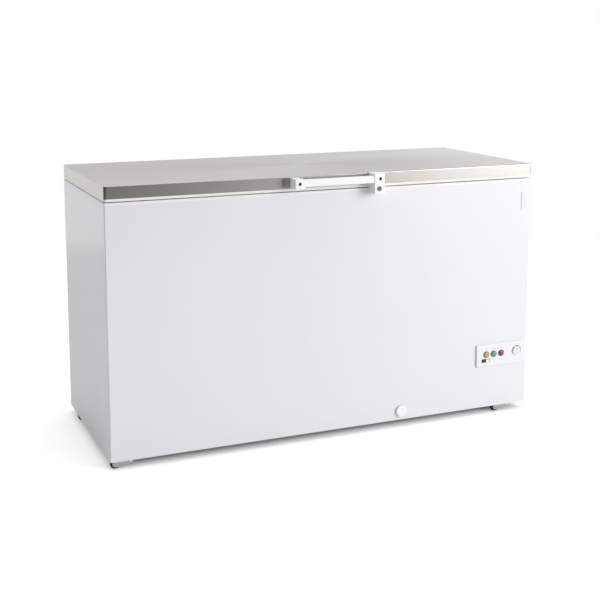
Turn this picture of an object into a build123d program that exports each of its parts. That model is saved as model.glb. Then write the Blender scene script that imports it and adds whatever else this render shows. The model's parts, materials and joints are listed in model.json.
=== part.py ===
from build123d import *
import os

os.makedirs("parts", exist_ok=True)

# Chest freezer on four small wheels, with a hinged lid, a locking bar handle and a control panel.
# Millimetres, +Z up. The front faces -Y. The origin is on the floor, under the middle of the box
# that holds the whole object, from the front of the lock barrel to the back of the rear spacers.

# ---- Driving dimensions: the whole object ------------------------------------------------------
WIDTH = 1500.0           # cabinet and lid, left to right
DEPTH = 600.0            # cabinet and lid, front to rear
HEIGHT = 879.0           # floor to the top of the lid
CABINET_FOOT = 26.0      # floor to the underside of the cabinet
HANDLE_REACH = 45.0      # how far the handle stands out of the front
SPACER_REACH = 30.0      # how far the rear spacers stand out of the back

# ---- Sheets, shells and insulation -------------------------------------------------------------
SHEET = 1.0              # painted steel of the outer wrap
PAN_SHEET = 1.2          # galvanised steel of the bottom pan
TANK_SHEET = 1.0         # embossed aluminium of the inner tank
PLASTIC = 2.5            # moulded plastic walls
CORNER = 4.0             # outer upright corners of the cabinet
RETURN = 20.0            # rear edges of the wrap, folded inwards
PAN_FLANGE = 12.0        # upturned edge of the bottom pan
WALL = 62.0              # outside of the cabinet to the outside of the tank
FLOOR_FOAM = 60.0        # insulation under the tank
TANK_CORNER = 16.0       # upright corners of the tank
TANK_FLANGE = 20.0       # outward rim of the tank, under the collar
COLLAR_LIP = 8.5         # visible height of the plastic collar round the top of the cabinet
LEDGE = 8.0              # width of the ledge that the baskets hang on
LEDGE_DROP = 38.5        # top of the collar down to that ledge
LEDGE_THICK = 3.0

# ---- Lid ---------------------------------------------------------------------------------------
SKIN_HEIGHT = 39.5       # visible height of the stainless lid skin
LID_CORNER = 8.0         # upright corners of the lid
LID_EDGE = 3.0           # rounding of the lid's upper edge
FRAME_HEIGHT = 8.0       # visible height of the plastic frame under the skin
FRAME_WIDTH = 45.0       # how far the frame reaches inwards
SEAL_GAP = 3.0           # gap between the lid frame and the collar
SEAL_CLEAR = 0.3         # gasket to the collar
SEAL_INSET = 14.0        # outside of the lid to the gasket
SEAL_WIDTH = 16.0
SEAL_RIB = 1.5           # height of the gasket's retaining rib
LINER = 1.5              # lid liner sheet
LINER_INSET = 71.0       # outside of the lid to the raised plug of the liner
LINER_DROP = 20.0        # how far the plug reaches below the collar's top
LINER_SEAT = 15.0        # how far the liner's edge lies on the frame

# ---- Machine compartment -----------------------------------------------------------------------
COMPARTMENT_WIDTH = 310.0
COMPARTMENT_TOP = 290.0  # from the floor
STEP_FOAM = 55.0         # insulation between the compartment and the tank

# ---- Coils -------------------------------------------------------------------------------------
EVAPORATOR_R = 4.0
EVAPORATOR_SLOT = 10.0   # gap in the foam round the tank for the coil
EVAPORATOR_PITCH = 65.0
CONDENSER_R = 2.4
CONDENSER_SLOT = 7.0     # gap in the foam inside the wrap for the coil
CONDENSER_LEVELS = 8
COIL_CLEAR = 0.3
COIL_BEND = 14.0

# ---- Hinges ------------------------------------------------------------------------------------
HINGE_SPAN = 480.0       # middle of the lid to each hinge
HINGE_OFFSET = 13.0      # hinge axis behind the cabinet's back
PIN_R = 4.0
PIN_CLEAR = 0.05
LUG_R = 8.0
LUG_THICK = 3.0
BASE_LUG_X = 27.0        # middle of the hinge to the outside of the base's lugs
LEAF_LUG_X = 23.5        # middle of the hinge to the outside of the leaf's lugs
HINGE_PLATE = 2.5
HINGE_HALF = 35.0        # half the width of both hinge plates
LEAF_LOW = 6.5           # hinge axis up to the leaf plate
LEAF_HIGH = 38.0
BASE_HIGH = 8.0          # hinge axis down to the base plate
BASE_LOW = 95.0
SPRING_R = 7.0
SPRING_BORE = 4.4
SPRING_HALF = 19.0

# ---- Handle and lock ---------------------------------------------------------------------------
HANDLE_HALF = 156.0      # middle of the lid to the outer ends of the handle
BRACKET_WIDTH = 36.0
BRACKET_Z = (842.0 - 879.0, 874.0 - 879.0)     # from the top of the lid
BAR_Z = (848.0 - 879.0, 872.0 - 879.0)
LOCK_HOUSING_DROP = 68.0  # top of the lid to the bottom of the lock housing
BAR_FRONT = 2.0          # front of the brackets to the front of the bar
BAR_THICK = 14.0
LOCK_R = 8.0
LOCK_DROP = 49.0
LOCK_X = 19.0            # outer end of the lock housing to the lock's axis
LOCK_PROUD = 2.0
LOCK_LENGTH = 30.0
BOLT_SIZE = (10.0, 6.0)
BOLT_DROP = 63.5         # top of the lid to the middle of the bolt
BOLT_LENGTH = 13.0
BOLT_TRAVEL = 8.0
LOOSE = 0.35             # each side of a part that slides freely
HOUSING_GAP = 1.0        # lock housing to the front of the cabinet

# ---- Control panel -----------------------------------------------------------------------------
PANEL_SIZE = (200.0, 78.0)
PANEL_RIGHT = 8.0        # right side of the cabinet to the panel
PANEL_BOTTOM = 174.0
PANEL_PROUD = 7.0
PANEL_WINDOW = 12.0      # edge of the panel to the opening in the wrap
LAMP_X = (38.0, 67.5, 98.0)
LAMP_Z = 43.0
LAMP_BEZEL_R = 11.5
LAMP_R = 9.5
KNOB_AT = (161.0, 45.0)
KNOB_R = 15.0
KNOB_LENGTH = 5.0
KNOB_GAP = 0.5
COIN_SLOT = (2.4, 3.0)      # width and depth of the slot that a coin turns the knob by
SPINDLE_R = 3.0
SPINDLE_CLEAR = 0.05
SWITCH_AT = (36.5, 21.5)
SWITCH_SIZE = (31.0, 11.0)
ROCKER_SIZE = (26.4, 7.8)
ROCKER_TILT = 8.0        # degrees each way

# ---- Drain -------------------------------------------------------------------------------------
DRAIN_X = 250.0          # middle of the cabinet to the drain
DRAIN_Z = 57.0
DRAIN_R = 10.0           # outside of the tube
DRAIN_BORE = 8.0
DRAIN_BEHIND = 100.0     # cabinet's front to the sump in the tank
DRAIN_CAP_R = 19.5

# ---- Wheels ------------------------------------------------------------------------------------
WHEEL_R = 15.0
WHEEL_WIDTH = 14.0
AXLE_R = 3.0
AXLE_CLEAR = 0.05
CHEEK = 2.0
CHEEK_GAP = 1.0          # wheel to each cheek
CHEEK_LENGTH = 50.0      # axle to the bracket's narrow end
WHEEL_LEFT = 18.0        # left side of the cabinet to the left axles
WHEEL_RIGHT = 115.0      # right side of the cabinet to the right axles
WHEEL_FRONT = 21.0       # front and back of the cabinet to the wheels' middles
WHEEL_REAR = 110.0

# ---- Baskets -----------------------------------------------------------------------------------
BASKET_WIDTH = 250.0
BASKET_HEIGHT = 200.0
BASKET_WIRE = 4.0
BASKET_MESH = 42.0       # wire spacing
BASKET_END = 82.0        # side of the cabinet to the basket
BASKET_RIM = 12.0
BASKET_TRAVEL = 280.0

# ---- Places that follow from the driving dimensions --------------------------------------------
x_left = -WIDTH / 2
x_right = WIDTH / 2
reach = HANDLE_REACH + LOCK_PROUD        # front of the cabinet to the front of the lock barrel
front = -(DEPTH + reach + SPACER_REACH) / 2 + reach
rear = front + DEPTH
skin_bottom = HEIGHT - SKIN_HEIGHT
frame_bottom = skin_bottom - FRAME_HEIGHT
cabinet_top = frame_bottom - SEAL_GAP
wrap_top = cabinet_top - COLLAR_LIP
pan_top = CABINET_FOOT + PAN_SHEET
tank_top = cabinet_top - PLASTIC
tank_floor = pan_top + FLOOR_FOAM
step_z = COMPARTMENT_TOP + STEP_FOAM
compartment_x = x_right - COMPARTMENT_WIDTH
step_x = compartment_x - STEP_FOAM
ledge_z = cabinet_top - LEDGE_DROP
mouth = WALL + TANK_SHEET                # outside of the cabinet to the inside of the tank
lip_inner = mouth + PLASTIC              # outside of the cabinet to the inside of the collar
hinge_y = rear + HINGE_OFFSET
hinge_z = frame_bottom
panel_x = x_right - PANEL_RIGHT - PANEL_SIZE[0]
panel_front = front - PANEL_PROUD
panel_back = panel_front + PLASTIC       # inner face of the panel's front wall
lock_x = HANDLE_HALF - LOCK_X
handle_front = front - HANDLE_REACH


# ---- Helpers -----------------------------------------------------------------------------------
def block(x, y, z, r=0.0):
    """A box between two values on each axis. r rounds its four upright edges."""
    width = x[1] - x[0]
    depth = y[1] - y[0]
    outline = RectangleRounded(width, depth, r) if r > 0 else Rectangle(width, depth)
    return extrude(Pos((x[0] + x[1]) / 2, (y[0] + y[1]) / 2, z[0]) * outline, z[1] - z[0])


def footprint(inset, z, r=0.0):
    """The cabinet's outline, moved inwards by inset, between two heights."""
    return block((x_left + inset, x_right - inset), (front + inset, rear - inset), z, r)


def ring(outer, inner, z, r_outer=0.0, r_inner=0.0):
    """The band between two insets of the cabinet's outline."""
    return footprint(outer, z, r_outer) - footprint(inner, z, r_inner)


def rod(start, end, r):
    """A round bar from one point to another."""
    along = Vector(*end) - Vector(*start)
    plane = Plane(origin=start, z_dir=along)
    return plane * Cylinder(r, along.length, align=(Align.CENTER, Align.CENTER, Align.MIN))


def pipe(points, r, bend):
    """A round bar along straight runs joined by arcs."""
    path = FilletPolyline(*points, radius=bend)
    section = Plane(origin=path @ 0, z_dir=path % 0) * Circle(r)
    return sweep(section, path=path)


def turned(profile, at, towards):
    """A solid turned from (radius, distance) points about a line from `at` along `towards`."""
    outline = Plane.XZ * make_face(Polyline(*profile, close=True))
    solid = revolve(outline, Axis.Z)
    return Plane(origin=at, z_dir=towards) * solid


def plate_xz(x, z, y, r):
    """A plate facing the front, with rounded corners."""
    width = x[1] - x[0]
    height = z[1] - z[0]
    plane = Plane(origin=((x[0] + x[1]) / 2, y[1], (z[0] + z[1]) / 2), x_dir=(1, 0, 0), z_dir=(0, -1, 0))
    return extrude(plane * RectangleRounded(width, height, r), y[1] - y[0])


def screw(at, towards, head_r, head_h, shank_r, shank):
    """A pan-head screw. `at` is under its head, and `towards` points along its shank."""
    way = Vector(*towards)
    head = rod(at, tuple(Vector(*at) - way * head_h), head_r)
    top = head.edges().group_by(Axis(at, towards))[0]
    head = fillet(top, head_h * 0.4)
    return head + rod(at, tuple(Vector(*at) + way * shank), shank_r)


saved = {}


def save(name, *pieces):
    """Write one node. Every solid of the pieces stays a separate solid."""
    solids = [solid for piece in pieces for solid in piece.solids()]
    saved[name] = solids
    export_step(Compound(solids), f"parts/{name}.step")


def tank_volume(inset, top):
    """The space that the tank fills: a deep part, and a shallow part over the compartment."""
    radius = TANK_CORNER - inset
    y = (front + WALL + inset, rear - WALL - inset)
    deep = block((x_left + WALL + inset, step_x - inset), y, (tank_floor + inset, top), radius)
    over = block((x_left + WALL + inset, x_right - WALL - inset), y, (step_z + inset, top), radius)
    return deep + over


# ---- Pipe routes, which the foam, the liner and the coils share ---------------------------------
coil_gap = EVAPORATOR_R + COIL_CLEAR
coil_left = x_left + WALL - coil_gap
coil_front = front + WALL - coil_gap
coil_rear = rear - WALL + coil_gap
coil_low_right = step_x + coil_gap
coil_high_right = x_right - WALL + coil_gap
inlet_y = coil_rear - 25
inlet_z = tank_floor + 50
high_start = step_z + 35
low_levels = int((step_z - 30 - inlet_z) // EVAPORATOR_PITCH) + 1
high_levels = int((tank_top - 70 - high_start) // EVAPORATOR_PITCH) + 1
suction_x = coil_high_right + 2 * COIL_BEND + 2
suction_y = rear - 210
suction_z = COMPARTMENT_TOP - 30

evaporator_route = [
    (compartment_x + 25, inlet_y, inlet_z),
    (coil_low_right, inlet_y, inlet_z),
]
levels = [(inlet_z + n * EVAPORATOR_PITCH, coil_low_right) for n in range(low_levels)]
levels += [(high_start + n * EVAPORATOR_PITCH, coil_high_right) for n in range(high_levels)]
for number, (level, right) in enumerate(levels):
    if number:
        evaporator_route.append((right, coil_rear, level))
    evaporator_route.append((right, coil_front, level))
    evaporator_route.append((coil_left, coil_front, level))
    evaporator_route.append((coil_left, coil_rear, level))
coil_end_z = levels[-1][0] + EVAPORATOR_PITCH / 2
evaporator_route += [
    (coil_high_right, coil_rear, coil_end_z),
    (coil_high_right, suction_y, coil_end_z),
    (suction_x, suction_y, coil_end_z),
    (suction_x, suction_y, suction_z),
]

wrap_gap = SHEET + CONDENSER_R + COIL_CLEAR
tube_left = x_left + wrap_gap
tube_right = x_right - wrap_gap
tube_front = front + wrap_gap
turn_y = rear - 120
outlet_y = turn_y + 30
condenser_z = COMPARTMENT_TOP - 50
band = (COMPARTMENT_TOP, tank_top - 55)
level_step = (band[1] - band[0] - 60) / (CONDENSER_LEVELS - 1)
condenser_route = [(tube_right, turn_y, condenser_z)]
for number in range(CONDENSER_LEVELS):
    level = band[0] + 40 + number * level_step
    sides = (tube_right, tube_left) if number % 2 == 0 else (tube_left, tube_right)
    last = number == CONDENSER_LEVELS - 1
    condenser_route.append((sides[0], turn_y, level))
    condenser_route.append((sides[0], tube_front, level))
    condenser_route.append((sides[1], tube_front, level))
    condenser_route.append((sides[1], outlet_y if last else turn_y, level))
condenser_route.append((tube_right, outlet_y, condenser_z))

drain_y = front + DRAIN_BEHIND
drain_route = [(DRAIN_X, drain_y, tank_floor + TANK_SHEET), (DRAIN_X, drain_y, DRAIN_Z)]
drain_route.append((DRAIN_X, front, DRAIN_Z))
DRAIN_BEND = 20.0

BULB_R = 3.5
bulb_x = x_right - 90
bulb_y = front + 110
bulb_bottom = COMPARTMENT_TOP + 2
bulb_top = step_z - 5

# ---- Outer shells of the cabinet ---------------------------------------------------------------
WHEEL_WELL = 8.0         # height of the pressed pockets over the wheels
wheel_x = (x_left + WHEEL_LEFT, x_right - WHEEL_RIGHT)
wheel_y = (front + WHEEL_FRONT, rear - WHEEL_REAR)
wheels = [(x, y) for y in wheel_y for x in wheel_x]
wheel_names = ("front_left", "front_right", "rear_left", "rear_right")
bracket_half = WHEEL_WIDTH / 2 + CHEEK_GAP + CHEEK
well_y = WHEEL_WIDTH / 2 + CHEEK_GAP + 0.5
well_x = WHEEL_R - 1

window_x = (panel_x + PANEL_WINDOW, panel_x + PANEL_SIZE[0] - PANEL_WINDOW)
window_z = (PANEL_BOTTOM + PANEL_WINDOW, PANEL_BOTTOM + PANEL_SIZE[1] - PANEL_WINDOW)
grille_y = (front + 110, rear - 230)
grille_z = (70.0, 240.0)
vent_x = (compartment_x + 50, x_right - 30)
vent_z = (60.0, 265.0)
gland_x = compartment_x + 25
gland_z = 64.0
GLAND_R = 8.0
GLAND_BORE = 4.0
keeper_x = (lock_x - BOLT_SIZE[0] / 2 - LOOSE * 2, lock_x + BOLT_SIZE[0] / 2 + LOOSE * 2)
bolt_z = HEIGHT - BOLT_DROP
keeper_z = (bolt_z - BOLT_SIZE[1] / 2 - LOOSE * 2, bolt_z + BOLT_SIZE[1] / 2 + LOOSE * 2)

inside = (x_left + SHEET, x_right - SHEET)
inside_y = (front + SHEET, rear - 2 * SHEET)
wrap = block((x_left, x_right), (front, rear - SHEET), (CABINET_FOOT, wrap_top), CORNER)
wrap -= block(inside, inside_y, (CABINET_FOOT, wrap_top), CORNER - SHEET)
wrap -= block((x_left + RETURN, x_right - RETURN), (inside_y[1], rear), (CABINET_FOOT, wrap_top))
wrap -= block(window_x, (front, front + SHEET), window_z)
wrap -= block((x_right - SHEET, x_right), grille_y, grille_z)
wrap -= rod((DRAIN_X, front, DRAIN_Z), (DRAIN_X, front + SHEET, DRAIN_Z), DRAIN_R)
wrap -= block(keeper_x, (front, front + SHEET), keeper_z)
save("outer_wrap", wrap)

SCREW_R = 2.0
SCREW_LENGTH = 12.0
hinge_at = (-HINGE_SPAN, HINGE_SPAN)
base_screws = [(x + dx, hinge_z - drop) for x in hinge_at for dx in (-14, 14) for drop in (40, 80)]
spacer_at = (x_left + 60, x_right - 60)
SPACER_Z = (560.0, 620.0)
SPACER_HALF = 15.0
spacer_mid = (SPACER_Z[0] + SPACER_Z[1]) / 2

panel = block((x_left + CORNER, x_right - CORNER), (rear - SHEET, rear), (CABINET_FOOT, wrap_top))
panel -= block(vent_x, (rear - SHEET, rear), vent_z)
panel -= rod((gland_x, rear - SHEET, gland_z), (gland_x, rear, gland_z), GLAND_R)
for x, z in base_screws:
    panel -= rod((x, rear - SHEET, z), (x, rear, z), SCREW_R)
for x in spacer_at:
    panel -= rod((x, rear - SHEET, spacer_mid), (x, rear, spacer_mid), SCREW_R)
save("rear_panel", panel)

BOLT_R = 3.0
caster_bolt_x = (22.0, 34.0)
pan = block(inside, inside_y, (CABINET_FOOT, pan_top + PAN_FLANGE), CORNER - SHEET)
pan -= block(
    (inside[0] + PAN_SHEET, inside[1] - PAN_SHEET),
    (inside_y[0] + PAN_SHEET, inside_y[1] - PAN_SHEET),
    (pan_top, pan_top + PAN_FLANGE),
    CORNER - SHEET - PAN_SHEET,
)
wells = []
for x, y in wheels:
    well = block(
        (x - well_x - PAN_SHEET, x + well_x + PAN_SHEET),
        (y - well_y - PAN_SHEET, y + well_y + PAN_SHEET),
        (pan_top, pan_top + WHEEL_WELL),
    )
    wells.append(well)
    pan += well
    pan -= block(
        (x - well_x, x + well_x), (y - well_y, y + well_y), (CABINET_FOOT, pan_top + WHEEL_WELL - PAN_SHEET)
    )
    for dx in caster_bolt_x:
        pan -= rod((x + dx, y, CABINET_FOOT), (x + dx, y, pan_top), BOLT_R)

MOTOR_R = 75.0
motor_x = x_right - 150
motor_y = rear - 157
GROMMET_H = 10.0
FEET = (85.0, 62.0)
feet_at = [(motor_x + sx * FEET[0], motor_y + sy * FEET[1]) for sx in (-1, 1) for sy in (-1, 1)]
MOTOR_BOLT_R = 3.9
for x, y in feet_at:
    pan -= rod((x, y, CABINET_FOOT), (x, y, pan_top), MOTOR_BOLT_R)
save("bottom_pan", pan)

# ---- Tank, collar and insulation ---------------------------------------------------------------
tank = tank_volume(0.0, tank_top)
tank += footprint(WALL - TANK_FLANGE, (tank_top - TANK_SHEET, tank_top), TANK_CORNER)
tank -= tank_volume(TANK_SHEET, tank_top)
tank -= rod((DRAIN_X, drain_y, tank_floor), (DRAIN_X, drain_y, tank_floor + TANK_SHEET), DRAIN_R)
save("inner_tank", tank)

inner_r = TANK_CORNER - TANK_SHEET
lip_r = inner_r - PLASTIC
collar = ring(0.0, PLASTIC, (wrap_top, tank_top), CORNER, CORNER - PLASTIC)
collar += ring(0.0, lip_inner, (tank_top, cabinet_top), CORNER, lip_r)
collar += ring(mouth, lip_inner, (ledge_z - LEDGE_THICK, tank_top), inner_r, lip_r)
collar += ring(lip_inner, lip_inner + LEDGE, (ledge_z - LEDGE_THICK, ledge_z), lip_r, lip_r - LEDGE)
rim_edges = collar.edges().filter_by(lambda e: abs(e.center().Z - cabinet_top) < 0.01)
collar = fillet(rim_edges.filter_by(lambda e: e.center().Y < front + WALL or e.center().Y > rear - WALL
                                    or abs(e.center().X) > x_right - WALL), 1.0)
save("top_collar", collar)

KEEPER_WALL = 1.5
KEEPER_DEPTH = 11.0
keeper_y = (front + SHEET, front + SHEET + KEEPER_DEPTH)
keeper_outer = block(
    (keeper_x[0] - KEEPER_WALL, keeper_x[1] + KEEPER_WALL),
    keeper_y,
    (keeper_z[0] - KEEPER_WALL, min(keeper_z[1] + KEEPER_WALL, wrap_top)),
)
keeper = keeper_outer - block(keeper_x, (keeper_y[0], keeper_y[1] - KEEPER_WALL), keeper_z)
save("lock_keeper", keeper)

foam_r = CORNER - SHEET
foam = block(inside, inside_y, (pan_top + PAN_FLANGE, wrap_top), foam_r)
foam += block(
    (inside[0] + PAN_SHEET, inside[1] - PAN_SHEET),
    (inside_y[0] + PAN_SHEET, inside_y[1] - PAN_SHEET),
    (pan_top, pan_top + PAN_FLANGE),
    CORNER - SHEET - PAN_SHEET,
)
foam += block(
    (x_left + RETURN, x_right - RETURN), (inside_y[1], rear - SHEET), (pan_top + PAN_FLANGE, wrap_top)
)
foam += footprint(PLASTIC, (wrap_top, tank_top), CORNER - PLASTIC)
foam -= footprint(WALL - TANK_FLANGE, (tank_top - TANK_SHEET, tank_top), TANK_CORNER)
foam -= tank_volume(0.0, tank_top)
foam -= block((compartment_x, x_right), (front, rear), (CABINET_FOOT, COMPARTMENT_TOP))
coil_slot_y = (front + WALL - EVAPORATOR_SLOT, rear - WALL + EVAPORATOR_SLOT)
slot_left = x_left + WALL - EVAPORATOR_SLOT
slot_split = step_z
foam -= block((slot_left, step_x + EVAPORATOR_SLOT), coil_slot_y, (inlet_z - 25, slot_split), TANK_CORNER)
foam -= block(
    (slot_left, x_right - WALL + EVAPORATOR_SLOT), coil_slot_y, (slot_split, coil_end_z + 15), TANK_CORNER
)
foam -= ring(SHEET, SHEET + CONDENSER_SLOT, band, foam_r, COIL_BEND) - block(
    (x_left + SHEET + CONDENSER_SLOT, x_right - SHEET - CONDENSER_SLOT), (rear - WALL, rear), band
)
CHANNEL = 1.0            # gap round a pipe that passes through the foam
foam -= rod((step_x, inlet_y, inlet_z), (compartment_x, inlet_y, inlet_z), EVAPORATOR_R + CHANNEL)
foam -= block(
    (step_x, coil_low_right + COIL_BEND),
    (inlet_y - COIL_BEND, inlet_y + EVAPORATOR_R + CHANNEL),
    (inlet_z - EVAPORATOR_R - CHANNEL, inlet_z + EVAPORATOR_R + CHANNEL),
)
foam -= rod(
    (suction_x, suction_y, COMPARTMENT_TOP), (suction_x, suction_y, coil_end_z + 10), EVAPORATOR_R + CHANNEL
)
foam -= block(
    (coil_high_right, suction_x),
    (suction_y - EVAPORATOR_R - CHANNEL, suction_y + COIL_BEND),
    (coil_end_z - 10, coil_end_z + 10),
)
foam -= rod((bulb_x, bulb_y, COMPARTMENT_TOP), (bulb_x, bulb_y, step_z), BULB_R + 0.5)
foam -= pipe(drain_route, DRAIN_R, DRAIN_BEND)
foam -= keeper_outer
for well in wells:
    foam -= well
for x, y in wheels:
    for dx in caster_bolt_x:
        foam -= rod((x + dx, y, pan_top), (x + dx, y, pan_top + 10), BOLT_R)
for x, z in base_screws:
    foam -= rod((x, rear - SCREW_LENGTH, z), (x, rear, z), SCREW_R)
for x in spacer_at:
    foam -= rod((x, rear - SCREW_LENGTH, spacer_mid), (x, rear, spacer_mid), SCREW_R)
save("cabinet_foam", foam)

liner_y = (inside_y[0] + CORNER, inside_y[1] - CORNER)
liner = block((compartment_x, inside[1]), liner_y, (COMPARTMENT_TOP - SHEET, COMPARTMENT_TOP))
liner += block((compartment_x, compartment_x + SHEET), liner_y, (pan_top, COMPARTMENT_TOP))
liner -= rod(
    (compartment_x, inlet_y, inlet_z), (compartment_x + SHEET, inlet_y, inlet_z), EVAPORATOR_R + CHANNEL
)
liner_holes = [
    (suction_x, suction_y, EVAPORATOR_R + CHANNEL),
    (bulb_x, bulb_y, BULB_R + 0.5),
]
for x, y, r in liner_holes:
    liner -= rod((x, y, COMPARTMENT_TOP - SHEET), (x, y, COMPARTMENT_TOP), r)
liner -= block(
    (inside[1] - CONDENSER_SLOT, inside[1]), (turn_y - 6, outlet_y + 6),
    (COMPARTMENT_TOP - SHEET, COMPARTMENT_TOP),
)
save("compartment_liner", liner)

# ---- Cooling circuit ---------------------------------------------------------------------------
save("evaporator_coil", pipe(evaporator_route, EVAPORATOR_R, COIL_BEND))
save("condenser_coil", pipe(condenser_route, CONDENSER_R, COIL_BEND))

feet_z = pan_top + GROMMET_H
FEET_SHEET = 3.0
MOTOR_HEIGHT = 188.0
can_bottom = feet_z + FEET_SHEET
can_top = can_bottom + MOTOR_HEIGHT
seam_z = can_bottom + MOTOR_HEIGHT * 0.52
can = rod((motor_x, motor_y, can_bottom), (motor_x, motor_y, can_top), MOTOR_R)
can = fillet(can.edges().group_by(Axis.Z)[-1], 38)
can = fillet(can.edges().group_by(Axis.Z)[0], 22)
compressor = can + rod((motor_x, motor_y, seam_z - 2), (motor_x, motor_y, seam_z + 2), MOTOR_R + 4)
feet = block(
    (motor_x - FEET[0] - 16, motor_x + FEET[0] + 16),
    (motor_y - FEET[1] - 16, motor_y + FEET[1] + 16),
    (feet_z, feet_z + FEET_SHEET),
    12,
)
compressor += feet
for x, y in feet_at:
    compressor -= rod((x, y, feet_z), (x, y, feet_z + FEET_SHEET), MOTOR_BOLT_R + 0.4)
stub_z = can_bottom + 70
discharge = (motor_x + MOTOR_R + 12, motor_y, stub_z)
suction = (motor_x - MOTOR_R - 12, motor_y, stub_z)
compressor += rod((motor_x, motor_y, stub_z), discharge, CONDENSER_R)
compressor += rod((motor_x, motor_y, stub_z), suction, EVAPORATOR_R)
compressor += rod((motor_x, motor_y, stub_z - 25), (motor_x - MOTOR_R - 26, motor_y, stub_z - 25), 3.0)
save("compressor", compressor)

terminal = block(
    (motor_x - 30, motor_x + 30), (motor_y - MOTOR_R - 22, motor_y - MOTOR_R + 18),
    (seam_z + 4, seam_z + 54), 4,
)
terminal -= rod((motor_x, motor_y, seam_z), (motor_x, motor_y, can_top), MOTOR_R + 0.1)
save("compressor_terminal_cover", terminal)

grommets = []
motor_bolts = []
for x, y in feet_at:
    grommet = rod((x, y, pan_top), (x, y, feet_z), 11.0)
    grommet = fillet(grommet.edges(), 2.0)
    grommets.append(grommet - rod((x, y, pan_top), (x, y, feet_z), MOTOR_BOLT_R + 0.2))
    bolt = rod((x, y, CABINET_FOOT), (x, y, feet_z + FEET_SHEET), MOTOR_BOLT_R)
    bolt += rod((x, y, feet_z + FEET_SHEET), (x, y, feet_z + FEET_SHEET + 1.6), 9.0)
    bolt += extrude(Pos(x, y, feet_z + FEET_SHEET + 1.6) * RegularPolygon(7.2, 6), 5.5)
    motor_bolts.append(bolt)
save("compressor_grommets", *grommets)

drier_x = compartment_x + 60
drier_y = rear - 32
drier_z = (72.0, 172.0)
drier_profile = [
    (0.0, 0.0), (2.6, 0.0), (2.6, 6.0), (9.5, 16.0), (9.5, 84.0), (2.6, 94.0), (2.6, 100.0), (0.0, 100.0)
]
drier = turned(drier_profile, (drier_x, drier_y, drier_z[0]), (0, 0, 1))
save("filter_drier", drier)

CAPILLARY_R = 1.2
pipes = [
    pipe(
        [
            discharge, (tube_right, motor_y, stub_z),
            (tube_right, turn_y, stub_z), (tube_right, turn_y, condenser_z),
        ],
        CONDENSER_R, 12.0,
    ),
    pipe(
        [
            (tube_right, outlet_y, condenser_z), (tube_right, outlet_y, condenser_z - 40),
            (tube_right, drier_y, condenser_z - 40), (drier_x, drier_y, condenser_z - 40),
            (drier_x, drier_y, drier_z[1]),
        ],
        CONDENSER_R, 10.0,
    ),
    pipe(
        [
            (drier_x, drier_y, drier_z[0]), (drier_x, drier_y, drier_z[0] - 20),
            (drier_x, inlet_y, drier_z[0] - 20), (drier_x, inlet_y, inlet_z),
            (compartment_x + 25, inlet_y, inlet_z),
        ],
        CAPILLARY_R, 8.0,
    ),
    pipe(
        [
            (suction_x, suction_y, suction_z), (suction_x, suction_y, can_top + 17),
            (motor_x - MOTOR_R - 45, suction_y, can_top + 17), (motor_x - MOTOR_R - 45, suction_y, stub_z),
            (motor_x - MOTOR_R - 45, motor_y, stub_z), suction,
        ],
        EVAPORATOR_R, 10.0,
    ),
]
save("refrigerant_pipes", *pipes)

# ---- Vents, gland, spacers and badge -----------------------------------------------------------
GRILLE_CLEAR = 0.5
GRILLE_FLANGE = 8.0
LOUVRE_PITCH = 14.0
grille = block(
    (x_right - SHEET - PLASTIC, x_right - GRILLE_CLEAR),
    (grille_y[0] + GRILLE_CLEAR, grille_y[1] - GRILLE_CLEAR),
    (grille_z[0] + GRILLE_CLEAR, grille_z[1] - GRILLE_CLEAR),
)
grille += block(
    (x_right - SHEET - PLASTIC, x_right - SHEET),
    (grille_y[0] - GRILLE_FLANGE, grille_y[1] + GRILLE_FLANGE),
    (grille_z[0] - GRILLE_FLANGE, grille_z[1] + GRILLE_FLANGE),
)
louvre_count = int((grille_z[1] - grille_z[0] - 16) // LOUVRE_PITCH)
for number in range(louvre_count):
    low = grille_z[0] + 12 + number * LOUVRE_PITCH
    grille -= block(
        (x_right - SHEET - PLASTIC, x_right), (grille_y[0] + 10, grille_y[1] - 10), (low, low + 6.5)
    )
save("side_vent_grille", grille)

COVER_PROUD = 9.0
COVER_SHEET = 1.0
cover_x = (vent_x[0] - 10, vent_x[1] + 10)
cover_z = (vent_z[0] - 10, vent_z[1] + 10)
cover = block(vent_x, (rear, rear + COVER_PROUD), vent_z)
cover -= block(
    (vent_x[0] + COVER_SHEET, vent_x[1] - COVER_SHEET), (rear, rear + COVER_PROUD - COVER_SHEET),
    (vent_z[0] + COVER_SHEET, vent_z[1] - COVER_SHEET),
)
rim = block(cover_x, (rear, rear + COVER_SHEET), cover_z)
rim -= block(
    (vent_x[0] + COVER_SHEET, vent_x[1] - COVER_SHEET), (rear, rear + COVER_SHEET),
    (vent_z[0] + COVER_SHEET, vent_z[1] - COVER_SHEET),
)
cover += rim
slot_columns = 3
slot_width = (vent_x[1] - vent_x[0] - 50) / slot_columns
for column in range(slot_columns):
    slot_x = vent_x[0] + 15 + column * (slot_width + 10)
    for number in range(12):
        low = vent_z[0] + 14 + number * 15
        cover -= block(
            (slot_x, slot_x + slot_width), (rear + COVER_SHEET, rear + COVER_PROUD), (low, low + 5)
        )
save("rear_vent_cover", cover)

GLAND_OUT = 8.0
gland = rod((gland_x, rear - 7, gland_z), (gland_x, rear + GLAND_OUT, gland_z), GLAND_R)
gland += rod((gland_x, rear, gland_z), (gland_x, rear + 3, gland_z), GLAND_R + 3.5)
gland += rod((gland_x, rear - 4, gland_z), (gland_x, rear - SHEET, gland_z), GLAND_R + 1.5)
gland -= rod((gland_x, rear - 7, gland_z), (gland_x, rear + GLAND_OUT, gland_z), GLAND_BORE)
save("cord_gland", gland)

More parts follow.
